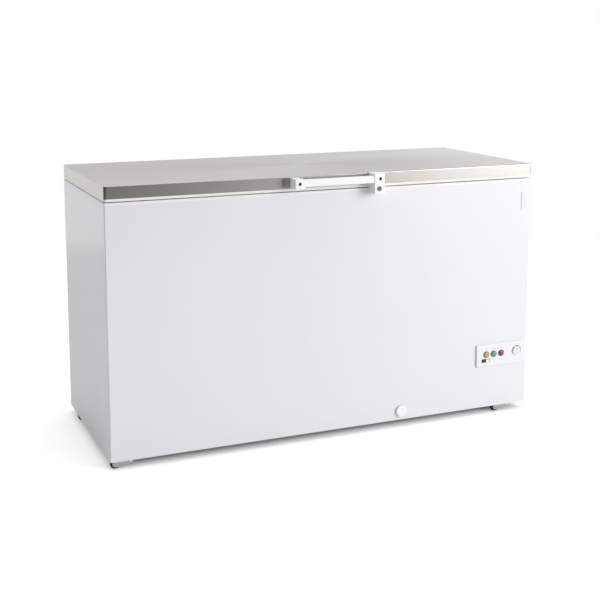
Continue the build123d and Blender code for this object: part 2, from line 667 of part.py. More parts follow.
spacers = []
spacer_screws = []
SPACER_SINK = 12.0       # depth of the screw's counterbore
for x in spacer_at:
    spacer = plate_xz((x - SPACER_HALF, x + SPACER_HALF), SPACER_Z, (rear, rear + SPACER_REACH), 5)
    spacer = fillet(spacer.edges().group_by(Axis.Y)[-1], 2.0)
    head_y = rear + SPACER_REACH - SPACER_SINK
    spacer -= rod((x, head_y, spacer_mid), (x, rear + SPACER_REACH, spacer_mid), 5.0)
    spacer -= rod((x, rear, spacer_mid), (x, head_y, spacer_mid), SCREW_R)
    spacers.append(spacer)
    spacer_screws.append(
        screw((x, head_y, spacer_mid), (0, -1, 0), 4.0, 2.4, SCREW_R, head_y - rear + SCREW_LENGTH)
    )
save("rear_spacers", *spacers)

BADGE_X = (39.0, 26.0)   # right side of the cabinet to the badge's two sides
BADGE_Z = (96.0, 159.0)  # top of the lid down to the badge's two ends
BADGE_THICK = 1.2
badge = plate_xz(
    (x_right - BADGE_X[0], x_right - BADGE_X[1]), (HEIGHT - BADGE_Z[1], HEIGHT - BADGE_Z[0]),
    (front - BADGE_THICK, front), 2.5,
)
badge = fillet(badge.edges().group_by(Axis.Y)[0], 0.5)
save("badge_plate", badge)

# ---- Control panel -----------------------------------------------------------------------------
panel_z = (PANEL_BOTTOM, PANEL_BOTTOM + PANEL_SIZE[1])
panel_span = (panel_x, panel_x + PANEL_SIZE[0])
fascia = plate_xz(panel_span, panel_z, (panel_front, front), 5)
fascia = fillet(fascia.edges().group_by(Axis.Y)[0], 2.0)
fascia -= plate_xz(
    (panel_span[0] + PLASTIC, panel_span[1] - PLASTIC), (panel_z[0] + PLASTIC, panel_z[1] - PLASTIC),
    (panel_back, front), 2.5,
)
lamp_at = [(panel_x + x, PANEL_BOTTOM + LAMP_Z) for x in LAMP_X]
knob_at = (panel_x + KNOB_AT[0], PANEL_BOTTOM + KNOB_AT[1])
switch_at = (panel_x + SWITCH_AT[0], PANEL_BOTTOM + SWITCH_AT[1])
SWITCH_BODY = (SWITCH_SIZE[0] - 2.0, SWITCH_SIZE[1] - 1.0)
BEZEL_STEM = 1.5         # wall of the lamp bezel
BEZEL_PROUD = 2.0
for x, z in lamp_at:
    fascia -= rod((x, panel_front, z), (x, panel_back, z), LAMP_R + BEZEL_STEM)
fascia -= rod(
    (knob_at[0], panel_front, knob_at[1]), (knob_at[0], panel_back, knob_at[1]), SPINDLE_R + 0.5
)
fascia -= block(
    (switch_at[0] - SWITCH_BODY[0] / 2, switch_at[0] + SWITCH_BODY[0] / 2), (panel_front, panel_back),
    (switch_at[1] - SWITCH_BODY[1] / 2, switch_at[1] + SWITCH_BODY[1] / 2),
)
save("control_panel", fascia)

bezels = []
for number, name in enumerate(("lamp_yellow", "lamp_green", "lamp_red")):
    x, z = lamp_at[number]
    at = (x, panel_front - BEZEL_PROUD, z)
    outer = LAMP_R + BEZEL_STEM
    bezel_profile = [
        (LAMP_R, 0.0), (LAMP_BEZEL_R - 0.6, 0.0), (LAMP_BEZEL_R, 0.6), (LAMP_BEZEL_R, BEZEL_PROUD),
        (outer, BEZEL_PROUD), (outer, BEZEL_PROUD + 14), (LAMP_R, BEZEL_PROUD + 14),
    ]
    bezels.append(turned(bezel_profile, at, (0, 1, 0)))
    dome = Plane.XZ * make_face(
        Line((0, 14), (0, -3)) + ThreePointArc((0, -3), (LAMP_R * 0.6, -2.0), (LAMP_R, 0.6))
        + Line((LAMP_R, 0.6), (LAMP_R, 14)) + Line((LAMP_R, 14), (0, 14))
    )
    save(name, Plane(origin=at, z_dir=(0, 1, 0)) * revolve(dome, Axis.Z))
save("lamp_bezels", *bezels)

STAT_SIZE = (44.0, 30.0, 34.0)
STAT_BORE = 16.0
stat_x = (knob_at[0] - STAT_SIZE[0] / 2, knob_at[0] + STAT_SIZE[0] / 2)
stat_z = (knob_at[1] - STAT_SIZE[2] / 2, knob_at[1] + STAT_SIZE[2] / 2)
stat_y = (panel_back, panel_back + STAT_SIZE[1])
stat = block(stat_x, stat_y, stat_z, 3)
stat -= rod(
    (knob_at[0], panel_back, knob_at[1]), (knob_at[0], panel_back + STAT_BORE, knob_at[1]),
    SPINDLE_R + SPINDLE_CLEAR,
)
save("thermostat_body", stat)

BULB_TUBE_R = 1.0
bulb = rod((bulb_x, bulb_y, bulb_bottom), (bulb_x, bulb_y, bulb_top), BULB_R)
bulb += pipe(
    [
        (knob_at[0], stat_y[1], knob_at[1]), (knob_at[0], bulb_y, knob_at[1]),
        (bulb_x, bulb_y, knob_at[1]), (bulb_x, bulb_y, bulb_bottom),
    ],
    BULB_TUBE_R, 10.0,
)
save("thermostat_bulb", bulb)

knob_back = panel_front - KNOB_GAP
knob_profile = [
    (0.0, 0.0), (KNOB_R, 0.0), (KNOB_R, KNOB_LENGTH - 1.2), (KNOB_R - 1.2, KNOB_LENGTH), (0.0, KNOB_LENGTH),
]
knob = turned(knob_profile, (knob_at[0], knob_back, knob_at[1]), (0, -1, 0))
knob += rod(
    (knob_at[0], knob_back, knob_at[1]), (knob_at[0], panel_back + STAT_BORE - 1.0, knob_at[1]), SPINDLE_R
)
knob -= block(
    (knob_at[0] - COIN_SLOT[0] / 2, knob_at[0] + COIN_SLOT[0] / 2),
    (knob_back - KNOB_LENGTH, knob_back - KNOB_LENGTH + COIN_SLOT[1]),
    (knob_at[1] - KNOB_R, knob_at[1] + KNOB_R),
)
save("thermostat_knob", knob)

SWITCH_DEEP = 16.0
SWITCH_PROUD = 1.6
ROCKER_AXIS = 1.0        # front of the panel back to the rocker's pivot
ROCKER_PIN_R = 1.4
rocker_y = panel_front + ROCKER_AXIS
switch = plate_xz(
    (switch_at[0] - SWITCH_SIZE[0] / 2, switch_at[0] + SWITCH_SIZE[0] / 2),
    (switch_at[1] - SWITCH_SIZE[1] / 2, switch_at[1] + SWITCH_SIZE[1] / 2),
    (panel_front - SWITCH_PROUD, panel_front), 1.2,
)
switch += block(
    (switch_at[0] - SWITCH_BODY[0] / 2, switch_at[0] + SWITCH_BODY[0] / 2),
    (panel_front, panel_front + SWITCH_DEEP),
    (switch_at[1] - SWITCH_BODY[1] / 2, switch_at[1] + SWITCH_BODY[1] / 2),
)
well_half = (ROCKER_SIZE[0] / 2 + 0.6, ROCKER_SIZE[1] / 2 + LOOSE)
switch -= block(
    (switch_at[0] - well_half[0], switch_at[0] + well_half[0]),
    (panel_front - SWITCH_PROUD, panel_front + 9.0),
    (switch_at[1] - well_half[1], switch_at[1] + well_half[1]),
)
pin_half = well_half[1] + 0.6
switch -= rod(
    (switch_at[0], rocker_y, switch_at[1] - pin_half - 0.1),
    (switch_at[0], rocker_y, switch_at[1] + pin_half + 0.1),
    ROCKER_PIN_R + PIN_CLEAR,
)
save("switch_body", switch)

half = ROCKER_SIZE[0] / 2
rocker_outline = [
    (-half, 0.0), (-half, 3.4), (0.0, 1.9), (half, 3.4), (half, 0.0), (5.0, -4.0), (-5.0, -4.0)
]
rocker_plane = Plane(
    origin=(switch_at[0], rocker_y, switch_at[1] - ROCKER_SIZE[1] / 2), x_dir=(-1, 0, 0), z_dir=(0, 0, 1)
)
rocker = extrude(make_face(Polyline(*rocker_outline, close=True)), ROCKER_SIZE[1])
rocker += rod((0, 0, ROCKER_SIZE[1] / 2 - pin_half), (0, 0, ROCKER_SIZE[1] / 2 + pin_half), ROCKER_PIN_R)
rocker = Rot(0, 0, -ROCKER_TILT) * rocker
save("rocker_switch", rocker_plane * rocker)

# ---- Drain -------------------------------------------------------------------------------------
DRAIN_SEAT = 2.0
drain = pipe(drain_route, DRAIN_R, DRAIN_BEND)
seat_z = tank_floor + TANK_SHEET + DRAIN_SEAT
drain += rod((DRAIN_X, drain_y, tank_floor + TANK_SHEET), (DRAIN_X, drain_y, seat_z), 16.0)
drain -= pipe(drain_route, DRAIN_BORE, DRAIN_BEND)
drain -= rod((DRAIN_X, drain_y, tank_floor), (DRAIN_X, drain_y, seat_z), DRAIN_BORE)
save("drain_tube", drain)

OUTLET_THICK = 1.6
outlet = rod((DRAIN_X, front - OUTLET_THICK, DRAIN_Z), (DRAIN_X, front, DRAIN_Z), DRAIN_CAP_R - 1.5)
outlet -= rod((DRAIN_X, front - OUTLET_THICK, DRAIN_Z), (DRAIN_X, front, DRAIN_Z), DRAIN_BORE)
save("drain_outlet", outlet)

CAP_THICK = 6.0
CAP_STUB = 10.0
cap_back = front - OUTLET_THICK - LOOSE
cap = rod((DRAIN_X, cap_back - CAP_THICK, DRAIN_Z), (DRAIN_X, cap_back, DRAIN_Z), DRAIN_CAP_R)
cap = fillet(cap.edges().group_by(Axis.Y)[0], 2.0)
cap += rod((DRAIN_X, cap_back, DRAIN_Z), (DRAIN_X, cap_back + CAP_STUB, DRAIN_Z), DRAIN_BORE - LOOSE)
save("drain_cap", cap)

plug_z = seat_z + LOOSE
plug = rod((DRAIN_X, drain_y, plug_z - 8), (DRAIN_X, drain_y, plug_z), DRAIN_BORE - LOOSE)
plug += rod((DRAIN_X, drain_y, plug_z), (DRAIN_X, drain_y, plug_z + 4), 13.0)
plug += block((DRAIN_X - 8, DRAIN_X + 8), (drain_y - 1.5, drain_y + 1.5), (plug_z + 4, plug_z + 14))
save("tank_drain_plug", plug)

# ---- Wheels ------------------------------------------------------------------------------------
brackets = []
axles = []
caster_bolts = []
CHEEK_END_R = 6.0
CHEEK_HOLE = 3.5
BRACKET_TOP = 1.8
for name, (x, y) in zip(wheel_names, wheels):
    profile = Circle(9.5) + Pos(CHEEK_LENGTH, 4.5) * Circle(CHEEK_END_R)
    cheek = make_hull(profile.edges())
    cheek -= Pos(CHEEK_LENGTH - 1, 4.0) * Circle(CHEEK_HOLE)
    cheek -= Circle(AXLE_R)
    side = Plane(origin=(x, y + bracket_half, WHEEL_R), x_dir=(1, 0, 0), z_dir=(0, -1, 0))
    bracket = extrude(side * cheek, CHEEK)
    other = Plane(origin=(x, y - bracket_half + CHEEK, WHEEL_R), x_dir=(1, 0, 0), z_dir=(0, -1, 0))
    bracket += extrude(other * cheek, CHEEK)
    bracket += block(
        (x + WHEEL_R + 1.5, x + CHEEK_LENGTH + CHEEK_END_R - 1), (y - bracket_half, y + bracket_half),
        (CABINET_FOOT - BRACKET_TOP, CABINET_FOOT),
    )
    for dx in caster_bolt_x:
        bracket -= rod((x + dx, y, CABINET_FOOT - BRACKET_TOP), (x + dx, y, CABINET_FOOT), BOLT_R)
        head_z = CABINET_FOOT - BRACKET_TOP
        bolt = rod((x + dx, y, head_z), (x + dx, y, pan_top + 10), BOLT_R)
        bolt += extrude(Pos(x + dx, y, head_z - 4) * RegularPolygon(5.5, 6), 4)
        caster_bolts.append(bolt)
    brackets.append(bracket)
    axle = rod((x, y - bracket_half, WHEEL_R), (x, y + bracket_half, WHEEL_R), AXLE_R)
    axle += rod((x, y - bracket_half - 1.2, WHEEL_R), (x, y - bracket_half, WHEEL_R), AXLE_R + 1.5)
    axle += rod((x, y + bracket_half, WHEEL_R), (x, y + bracket_half + 1.2, WHEEL_R), AXLE_R + 1.5)
    axles.append(axle)
    wheel_profile = [
        (AXLE_R + AXLE_CLEAR, 0.0), (5.5, 0.0), (6.5, 1.5), (11.0, 1.5), (12.0, 0.8), (WHEEL_R - 1.5, 0.8),
        (WHEEL_R, 2.5), (WHEEL_R, WHEEL_WIDTH - 2.5), (WHEEL_R - 1.5, WHEEL_WIDTH - 0.8),
        (12.0, WHEEL_WIDTH - 0.8), (11.0, WHEEL_WIDTH - 1.5), (6.5, WHEEL_WIDTH - 1.5), (5.5, WHEEL_WIDTH),
        (AXLE_R + AXLE_CLEAR, WHEEL_WIDTH),
    ]
    wheel = turned(wheel_profile, (x, y - WHEEL_WIDTH / 2, WHEEL_R), (0, 1, 0))
    save(f"wheel_{name}", wheel)
save("caster_brackets", *brackets)
save("caster_axles", *axles)
save("base_bolts", *caster_bolts, *motor_bolts)

# ---- Hinges ------------------------------------------------------------------------------------
bases = []
leaves = []
pins = []
springs = []
for x in hinge_at:
    axis_line = (x, hinge_y, hinge_z)
    base = block(
        (x - HINGE_HALF, x + HINGE_HALF), (rear, rear + HINGE_PLATE),
        (hinge_z - BASE_LOW, hinge_z - BASE_HIGH),
    )
    leaf = block(
        (x - HINGE_HALF, x + HINGE_HALF), (rear, rear + HINGE_PLATE),
        (hinge_z + LEAF_LOW, hinge_z + LEAF_HIGH),
    )
    pin_hole = {"base": PIN_R, "leaf": PIN_R + PIN_CLEAR}
    for part_name, outer_x, low, high in (
        ("base", BASE_LUG_X, -BASE_LOW * 0.55, -BASE_HIGH), ("leaf", LEAF_LUG_X, LEAF_LOW, LEAF_HIGH)
    ):
        plate_mid = (-HINGE_OFFSET + HINGE_PLATE / 2, (low + high) / 2)
        plate_edge = Pos(*plate_mid) * Rectangle(HINGE_PLATE, high - low)
        lug = make_hull((Circle(LUG_R) + plate_edge).edges()) - Circle(pin_hole[part_name])
        for side in (-1, 1):
            start = x + (side * outer_x if side < 0 else outer_x - LUG_THICK)
            plane = Plane(origin=(start, hinge_y, hinge_z), x_dir=(0, 1, 0), z_dir=(1, 0, 0))
            if part_name == "base":
                base += extrude(plane * lug, LUG_THICK)
            else:
                leaf += extrude(plane * lug, LUG_THICK)
    for screw_x, screw_z in base_screws:
        base -= rod((screw_x, rear, screw_z), (screw_x, rear + HINGE_PLATE, screw_z), SCREW_R)
    bases.append(base)
    leaves.append(leaf)
    pin = rod((x - BASE_LUG_X, hinge_y, hinge_z), (x + BASE_LUG_X, hinge_y, hinge_z), PIN_R)
    for side in (-1, 1):
        edge = x + side * BASE_LUG_X
        pin += rod((edge, hinge_y, hinge_z), (edge + side * 2, hinge_y, hinge_z), PIN_R + 2)
    pins.append(pin)
    spring = rod((x - SPRING_HALF, hinge_y, hinge_z), (x + SPRING_HALF, hinge_y, hinge_z), SPRING_R)
    spring -= rod((x - SPRING_HALF, hinge_y, hinge_z), (x + SPRING_HALF, hinge_y, hinge_z), SPRING_BORE)
    springs.append(spring)

leaf_screws = [(x + dx, hinge_z + 26) for x in hinge_at for dx in (-14, 14)]
leaf_cuts = [rod((x, rear - SCREW_LENGTH, z), (x, rear + HINGE_PLATE, z), SCREW_R) for x, z in leaf_screws]
for cut in leaf_cuts:
    leaves = [leaf - cut for leaf in leaves]
save("hinge_bases", *bases)
save("hinge_leaves", *leaves)
save("hinge_pins", *pins)
save("hinge_springs", *springs)
save("rear_screws", *spacer_screws, *[
    screw((x, rear + HINGE_PLATE, z), (0, -1, 0), 4.0, 2.2, SCREW_R, HINGE_PLATE + SCREW_LENGTH)
    for x, z in base_screws
])
save("hinge_leaf_screws", *[
    screw((x, rear + HINGE_PLATE, z), (0, -1, 0), 4.0, 2.2, SCREW_R, HINGE_PLATE + SCREW_LENGTH)
    for x, z in leaf_screws
])

# ---- Lid ---------------------------------------------------------------------------------------
HANDLE_SCREW_R = 2.5
HANDLE_SCREW_IN = 14.0
BRACKET_SCREW = (16.0, 20.0)    # outer end of the left bracket, and top of the lid, to its screw
HOUSING_SCREW = (15.0, 17.0)    # outer end of the lock housing, and top of the lid, to its screw
handle_screw_at = [
    (-HANDLE_HALF + BRACKET_SCREW[0], HEIGHT - BRACKET_SCREW[1]),
    (HANDLE_HALF - HOUSING_SCREW[0], HEIGHT - HOUSING_SCREW[1]),
]
handle_cuts = [
    rod((x, front - 20, z), (x, front + HANDLE_SCREW_IN, z), HANDLE_SCREW_R) for x, z in handle_screw_at
]

skin = footprint(0.0, (skin_bottom, HEIGHT), LID_CORNER)
skin = fillet(skin.edges().group_by(Axis.Z)[-1], LID_EDGE)
skin_hollow = footprint(SHEET, (skin_bottom, HEIGHT - SHEET), LID_CORNER - SHEET)
skin_hollow = fillet(skin_hollow.edges().group_by(Axis.Z)[-1], LID_EDGE - SHEET)
skin_sheet = skin - skin_hollow
for cut in handle_cuts + leaf_cuts:
    skin_sheet -= cut
save("lid_skin", skin_sheet)

frame_r = LID_CORNER - PLASTIC
UPSTAND = 10.0
frame_floor = (frame_bottom, frame_bottom + PLASTIC)
frame = ring(0.0, FRAME_WIDTH, frame_floor, LID_CORNER, 4.0)
frame += ring(0.0, PLASTIC, (frame_bottom, skin_bottom), LID_CORNER, frame_r)
frame += ring(SHEET, PLASTIC, (skin_bottom, skin_bottom + UPSTAND), LID_CORNER - SHEET, frame_r)
rib_mid = SEAL_INSET + SEAL_WIDTH / 2
rib = ring(rib_mid - 1.5, rib_mid + 1.5, (frame_bottom, frame_bottom + SEAL_RIB), 3.0, 2.0)
frame -= rib
for cut in handle_cuts + leaf_cuts:
    frame -= cut
save("lid_frame", frame)

gasket = ring(SEAL_INSET, SEAL_INSET + SEAL_WIDTH, (cabinet_top + SEAL_CLEAR, frame_bottom), 6.0, 3.0)
gasket += rib
save("lid_gasket", gasket)

liner_top = frame_floor[1] + LINER
plug_bottom = cabinet_top - LINER_DROP
plug_r = 14.0
lid_liner = ring(FRAME_WIDTH - LINER_SEAT, LINER_INSET, (frame_floor[1], liner_top), 4.0, plug_r)
lid_liner += ring(LINER_INSET, LINER_INSET + LINER, (plug_bottom, liner_top), plug_r, plug_r - LINER)
lid_liner += footprint(LINER_INSET, (plug_bottom, plug_bottom + LINER), plug_r)
lid_liner = fillet(lid_liner.edges().group_by(Axis.Z)[0], 1.2)
save("lid_liner", lid_liner)

lid_foam = footprint(PLASTIC, (frame_floor[1], skin_bottom + UPSTAND), frame_r)
lid_foam += skin_hollow - footprint(0.0, (frame_bottom, skin_bottom + UPSTAND))
lid_foam -= footprint(FRAME_WIDTH - LINER_SEAT, (frame_floor[1], liner_top), 4.0)
lid_foam += footprint(LINER_INSET + LINER, (plug_bottom + LINER, liner_top), plug_r - LINER)
for cut in handle_cuts + leaf_cuts:
    lid_foam -= cut
save("lid_foam", lid_foam)

# ---- Handle and lock ---------------------------------------------------------------------------
bracket_span = (-HANDLE_HALF, -HANDLE_HALF + BRACKET_WIDTH)
bracket_z = (HEIGHT + BRACKET_Z[0], HEIGHT + BRACKET_Z[1])
bar_z = (HEIGHT + BAR_Z[0], HEIGHT + BAR_Z[1])
SINK_R = 4.5
SINK = 6.0
left_bracket = block(bracket_span, (handle_front, front), bracket_z)
chamfered = left_bracket.edges().filter_by(Axis.Y).sort_by(Axis.X)[-2:]
left_bracket = chamfer(chamfered, bar_z[0] - bracket_z[0])
left_bracket = fillet(left_bracket.edges().group_by(Axis.Y)[0], 2.0)

housing_span = (HANDLE_HALF - BRACKET_WIDTH, HANDLE_HALF)
housing_z = (HEIGHT - LOCK_HOUSING_DROP, HEIGHT)
housing = block(housing_span, (handle_front, front), housing_z)
housing = fillet(housing.edges().filter_by(Axis.Y), 4.0)
housing = fillet(housing.edges().group_by(Axis.Y)[0], 2.0)
housing -= block(housing_span, (front - HOUSING_GAP, front), (housing_z[0], frame_bottom))
lock_z = HEIGHT - LOCK_DROP
lock_back = handle_front - LOCK_PROUD + LOCK_LENGTH
housing -= rod((lock_x, handle_front, lock_z), (lock_x, lock_back + 0.3, lock_z), LOCK_R + PIN_CLEAR)
bolt_x = (lock_x - BOLT_SIZE[0] / 2, lock_x + BOLT_SIZE[0] / 2)
bolt_span = (bolt_z - BOLT_SIZE[1] / 2, bolt_z + BOLT_SIZE[1] / 2)
bolt_y = (front - HOUSING_GAP - BOLT_LENGTH, front - HOUSING_GAP - 1.0)
housing -= block(
    (bolt_x[0] - LOOSE, bolt_x[1] + LOOSE), (lock_back + 0.3, front),
    (bolt_span[0] - LOOSE, bolt_span[1] + LOOSE),
)

screws = []
for x, z in handle_screw_at:
    hole = rod((x, handle_front, z), (x, handle_front + SINK, z), SINK_R)
    shank_hole = rod((x, handle_front + SINK, z), (x, front, z), HANDLE_SCREW_R)
    left_bracket -= hole + shank_hole
    housing -= hole + shank_hole
    screws.append(screw(
        (x, handle_front + SINK, z), (0, 1, 0), 4.0, 2.4, HANDLE_SCREW_R,
        front - handle_front - SINK + HANDLE_SCREW_IN,
    ))
save("handle_bracket", left_bracket)
save("lock_housing", housing)
save("handle_screws", *screws)

bar_y = (handle_front + BAR_FRONT, handle_front + BAR_FRONT + BAR_THICK)
bar = block((bracket_span[1], housing_span[0]), bar_y, bar_z)
bar = fillet(bar.edges().filter_by(Axis.X), 4.0)
save("handle_bar", bar)

KEYWAY = (1.6, 7.0)
cylinder = rod((lock_x, handle_front - LOCK_PROUD, lock_z), (lock_x, lock_back, lock_z), LOCK_R)
cylinder = chamfer(cylinder.edges().group_by(Axis.Y)[0], 0.6)
cylinder -= block(
    (lock_x - KEYWAY[0] / 2, lock_x + KEYWAY[0] / 2), (handle_front - LOCK_PROUD, handle_front + 10),
    (lock_z - KEYWAY[1] / 2, lock_z + KEYWAY[1] / 2),
)
save("lock_cylinder", cylinder)
save("lock_bolt", block(bolt_x, bolt_y, bolt_span))

# ---- Baskets -----------------------------------------------------------------------------------
def grid(width, height):
    """A flat wire panel's outline: a rectangle with evenly spaced windows."""
    columns = max(1, round(width / BASKET_MESH))
    rows = max(1, round(height / BASKET_MESH))
    step_u = (width - BASKET_WIRE) / columns
    step_v = (height - BASKET_WIRE) / rows
    hole = Rectangle(step_u - BASKET_WIRE, step_v - BASKET_WIRE)
    return Rectangle(width, height) - GridLocations(step_u, step_v, columns, rows) * hole


basket_y = (front + lip_inner + 2, rear - lip_inner - 2)
rim_z = (ledge_z + LOOSE, ledge_z + LOOSE + BASKET_WIRE)
basket_bottom = ledge_z - BASKET_HEIGHT
for name, low_x in (("left", x_left + BASKET_END), ("right", x_right - BASKET_END - BASKET_WIDTH)):
    span = (low_x, low_x + BASKET_WIDTH)
    mid_x = (span[0] + span[1]) / 2
    mid_y = (basket_y[0] + basket_y[1]) / 2
    rim_inner = (basket_y[0] + BASKET_RIM, basket_y[1] - BASKET_RIM)
    rim_bars = [
        block(span, (basket_y[0], rim_inner[0]), rim_z),
        block(span, (rim_inner[1], basket_y[1]), rim_z),
        block((span[0], span[0] + BASKET_WIRE), rim_inner, rim_z),
        block((span[1] - BASKET_WIRE, span[1]), rim_inner, rim_z),
    ]
    side_z = (basket_bottom + BASKET_WIRE, rim_z[0])
    high = side_z[1] - side_z[0]
    mid_z = (side_z[0] + side_z[1]) / 2
    wall_y = (rim_inner[0] - BASKET_WIRE, rim_inner[1])
    deep = wall_y[1] - wall_y[0] + BASKET_WIRE
    pieces = list(rim_bars)
    for y in wall_y:
        plane = Plane(origin=(mid_x, y + BASKET_WIRE, mid_z), x_dir=(1, 0, 0), z_dir=(0, -1, 0))
        pieces.append(extrude(plane * grid(BASKET_WIDTH, high), BASKET_WIRE))
    for x in (span[0], span[1] - BASKET_WIRE):
        plane = Plane(origin=(x, mid_y, mid_z), x_dir=(0, 1, 0), z_dir=(1, 0, 0))
        pieces.append(extrude(plane * grid(deep - 2 * BASKET_WIRE, high), BASKET_WIRE))
    floor_plane = Plane(origin=(mid_x, mid_y, basket_bottom))
    pieces.append(extrude(floor_plane * grid(BASKET_WIDTH, deep), BASKET_WIRE))
    save(f"basket_{name}", *pieces)
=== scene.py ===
# %% [markdown]
# # A chest freezer in Blender
# The CAD model already holds every part at its true size and place. This lesson loads it, gives
# each part the finish that the real one has, and builds the pieces that need round wire, coils or
# fine moulded detail. All lengths are in metres.

# %% Load the frame
import json
import math

import bmesh
import bpy
from mathutils import Matrix, Vector


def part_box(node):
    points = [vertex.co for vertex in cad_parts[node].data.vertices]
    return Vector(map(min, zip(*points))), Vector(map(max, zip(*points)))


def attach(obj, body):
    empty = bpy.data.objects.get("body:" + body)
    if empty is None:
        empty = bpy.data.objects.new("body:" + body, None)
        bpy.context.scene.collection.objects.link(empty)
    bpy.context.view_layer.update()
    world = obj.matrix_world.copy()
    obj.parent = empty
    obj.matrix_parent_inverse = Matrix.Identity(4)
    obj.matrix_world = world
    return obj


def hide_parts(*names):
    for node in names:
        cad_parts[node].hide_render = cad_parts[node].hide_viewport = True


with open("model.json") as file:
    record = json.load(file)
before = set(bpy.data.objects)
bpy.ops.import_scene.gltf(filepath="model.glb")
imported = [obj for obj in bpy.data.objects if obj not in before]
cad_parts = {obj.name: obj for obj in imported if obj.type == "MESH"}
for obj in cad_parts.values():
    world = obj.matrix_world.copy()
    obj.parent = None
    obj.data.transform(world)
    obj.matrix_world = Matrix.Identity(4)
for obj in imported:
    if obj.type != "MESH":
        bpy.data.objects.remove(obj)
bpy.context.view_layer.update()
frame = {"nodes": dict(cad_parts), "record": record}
MM = 0.001


# %% [markdown]
# Two helpers serve every finish. One turns an sRGB hex colour into the linear numbers that a
# shader works with. The other adds a shader node with its settings and links in one call, so a
# material reads as a short list of steps.

# %% Colour and node helpers
def linear(hex_colour):
    """An sRGB hex colour as linear red, green, blue and alpha."""
    channels = [int(hex_colour[i:i + 2], 16) / 255 for i in (1, 3, 5)]
    return [c / 12.92 if c <= 0.04045 else ((c + 0.055) / 1.055) ** 2.4 for c in channels] + [1.0]


def add(tree, kind, inputs=None, **settings):
    """Add a node. An input is a value, or the socket that it is linked from."""
    made = tree.nodes.new(kind)
    for key, value in settings.items():
        setattr(made, key, value)
    for key, value in (inputs or {}).items():
        if isinstance(value, bpy.types.NodeSocket):
            tree.links.new(value, made.inputs[key])
        else:
            made.inputs[key].default_value = value
    return made


def start(name):
    """A new material with its node tree, its shader and the coordinates of the whole object."""
    material = bpy.data.materials.new(name)
    material.use_nodes = True
    tree = material.node_tree
    shader = tree.nodes["Principled BSDF"]
    place = add(tree, "ShaderNodeTexCoord").outputs["Object"]
    return material, tree, shader, place


def surface(tree, shader, height, distance):
    """Bend the shading normal by a height pattern. distance is its depth in metres."""
    bump = add(tree, "ShaderNodeBump", {"Height": height, "Distance": distance, "Strength": 1.0})
    tree.links.new(bump.outputs["Normal"], shader.inputs["Normal"])


def tint(tree, shader, factor, low, high):
    """Colour the shader between two hex colours by a pattern."""
    ramp = add(tree, "ShaderNodeValToRGB", {"Fac": factor})
    ramp.color_ramp.elements[0].color = linear(low)
    ramp.color_ramp.elements[1].color = linear(high)
    tree.links.new(ramp.outputs["Color"], shader.inputs["Base Color"])
    return ramp


# %% [markdown]
# ## White painted steel
# The cabinet is coil-coated steel: polyester enamel baked on flat sheet before it is folded. It
# gives a smooth, semi-gloss white with a faint orange-peel waviness a few millimetres across. The
# waviness is kept very shallow, so highlights bend a little without looking dented.

# %% Coil-coated white steel
ORANGE_PEEL = 3.0 * MM


def enamel(name, low, high, roughness):
    material, tree, shader, place = start(name)
    shader.inputs["Roughness"].default_value = roughness
    shader.inputs["IOR"].default_value = 1.5
    shader.inputs["Coat Weight"].default_value = 0.25
    shader.inputs["Coat Roughness"].default_value = 0.12
    peel = add(tree, "ShaderNodeTexNoise", {"Vector": place, "Scale": 1 / ORANGE_PEEL, "Detail": 2.0})
    cloud = add(tree, "ShaderNodeTexNoise", {"Vector": place, "Scale": 2.0, "Detail": 1.0})
    tint(tree, shader, cloud.outputs["Fac"], low, high)
    surface(tree, shader, peel.outputs["Fac"], 0.02 * MM)
    return material


white_steel = enamel("coil_coated_white_steel", "#E3E3E7", "#E8E8EB", 0.34)
hinge_enamel = enamel("powder_coated_hinge_steel", "#D4D5D6", "#DFE0E1", 0.45)
black_enamel = enamel("black_enamelled_compressor", "#0C0C0D", "#151516", 0.35)
basket_coat = enamel("white_dip_coated_wire", "#E8E8E6", "#F2F2F0", 0.4)
print("enamels made")


# %% [markdown]
# ## Brushed stainless steel
# The lid's skin is stainless sheet, brushed along its length with a fine belt. The scratches are
# about 0.3 mm wide and very long, so noise is stretched along X. They are drawn twice as wide as
# the real ones, because finer ones would vanish in a picture of the whole freezer. Metal keeps
# the default IOR.

# %% Brushed stainless
def brushed(name, low, high, roughness, grain, along):
    material, tree, shader, place = start(name)
    shader.inputs["Metallic"].default_value = 1.0
    shader.inputs["Roughness"].default_value = roughness
    shader.inputs["Anisotropic"].default_value = 0.5
    stretch = [1 / grain] * 3
    stretch["XYZ".index(along)] = 1 / (grain * 120)
    mapped = add(tree, "ShaderNodeMapping", {"Vector": place, "Scale": stretch})
    lines = add(
        tree, "ShaderNodeTexNoise", {"Vector": mapped.outputs["Vector"], "Scale": 1.0, "Detail": 3.0}
    )
    tint(tree, shader, lines.outputs["Fac"], low, high)
    surface(tree, shader, lines.outputs["Fac"], 0.012 * MM)
    return material


BRUSH = 0.6 * MM
stainless = brushed("brushed_stainless_lid", "#ABA9A5", "#C0BEBA", 0.27, BRUSH, "X")
zinc = brushed("zinc_plated_steel", "#AEB0B2", "#C6C8CA", 0.4, 2.0 * MM, "X")
spring_steel = brushed("oiled_spring_steel", "#46484B", "#606266", 0.32, 1.0 * MM, "X")
copper = brushed("drawn_copper_tube", "#A8623C", "#C07B50", 0.28, 1.0 * MM, "Z")
coil_metal = brushed("drawn_aluminium_tube", "#A4A7AA", "#B9BCBF", 0.35, 1.0 * MM, "X")
lock_chrome = brushed("nickel_plated_lock_barrel", "#6C6D70", "#808184", 0.3, 0.8 * MM, "Y")
print("brushed metals made")


# %% [markdown]
# ## Embossed aluminium
# The tank is stucco-embossed aluminium: a roller presses a pebbled pattern of about 5 mm into soft
# sheet, which hides scratches. Voronoi cells with smooth sides make the pebbles.

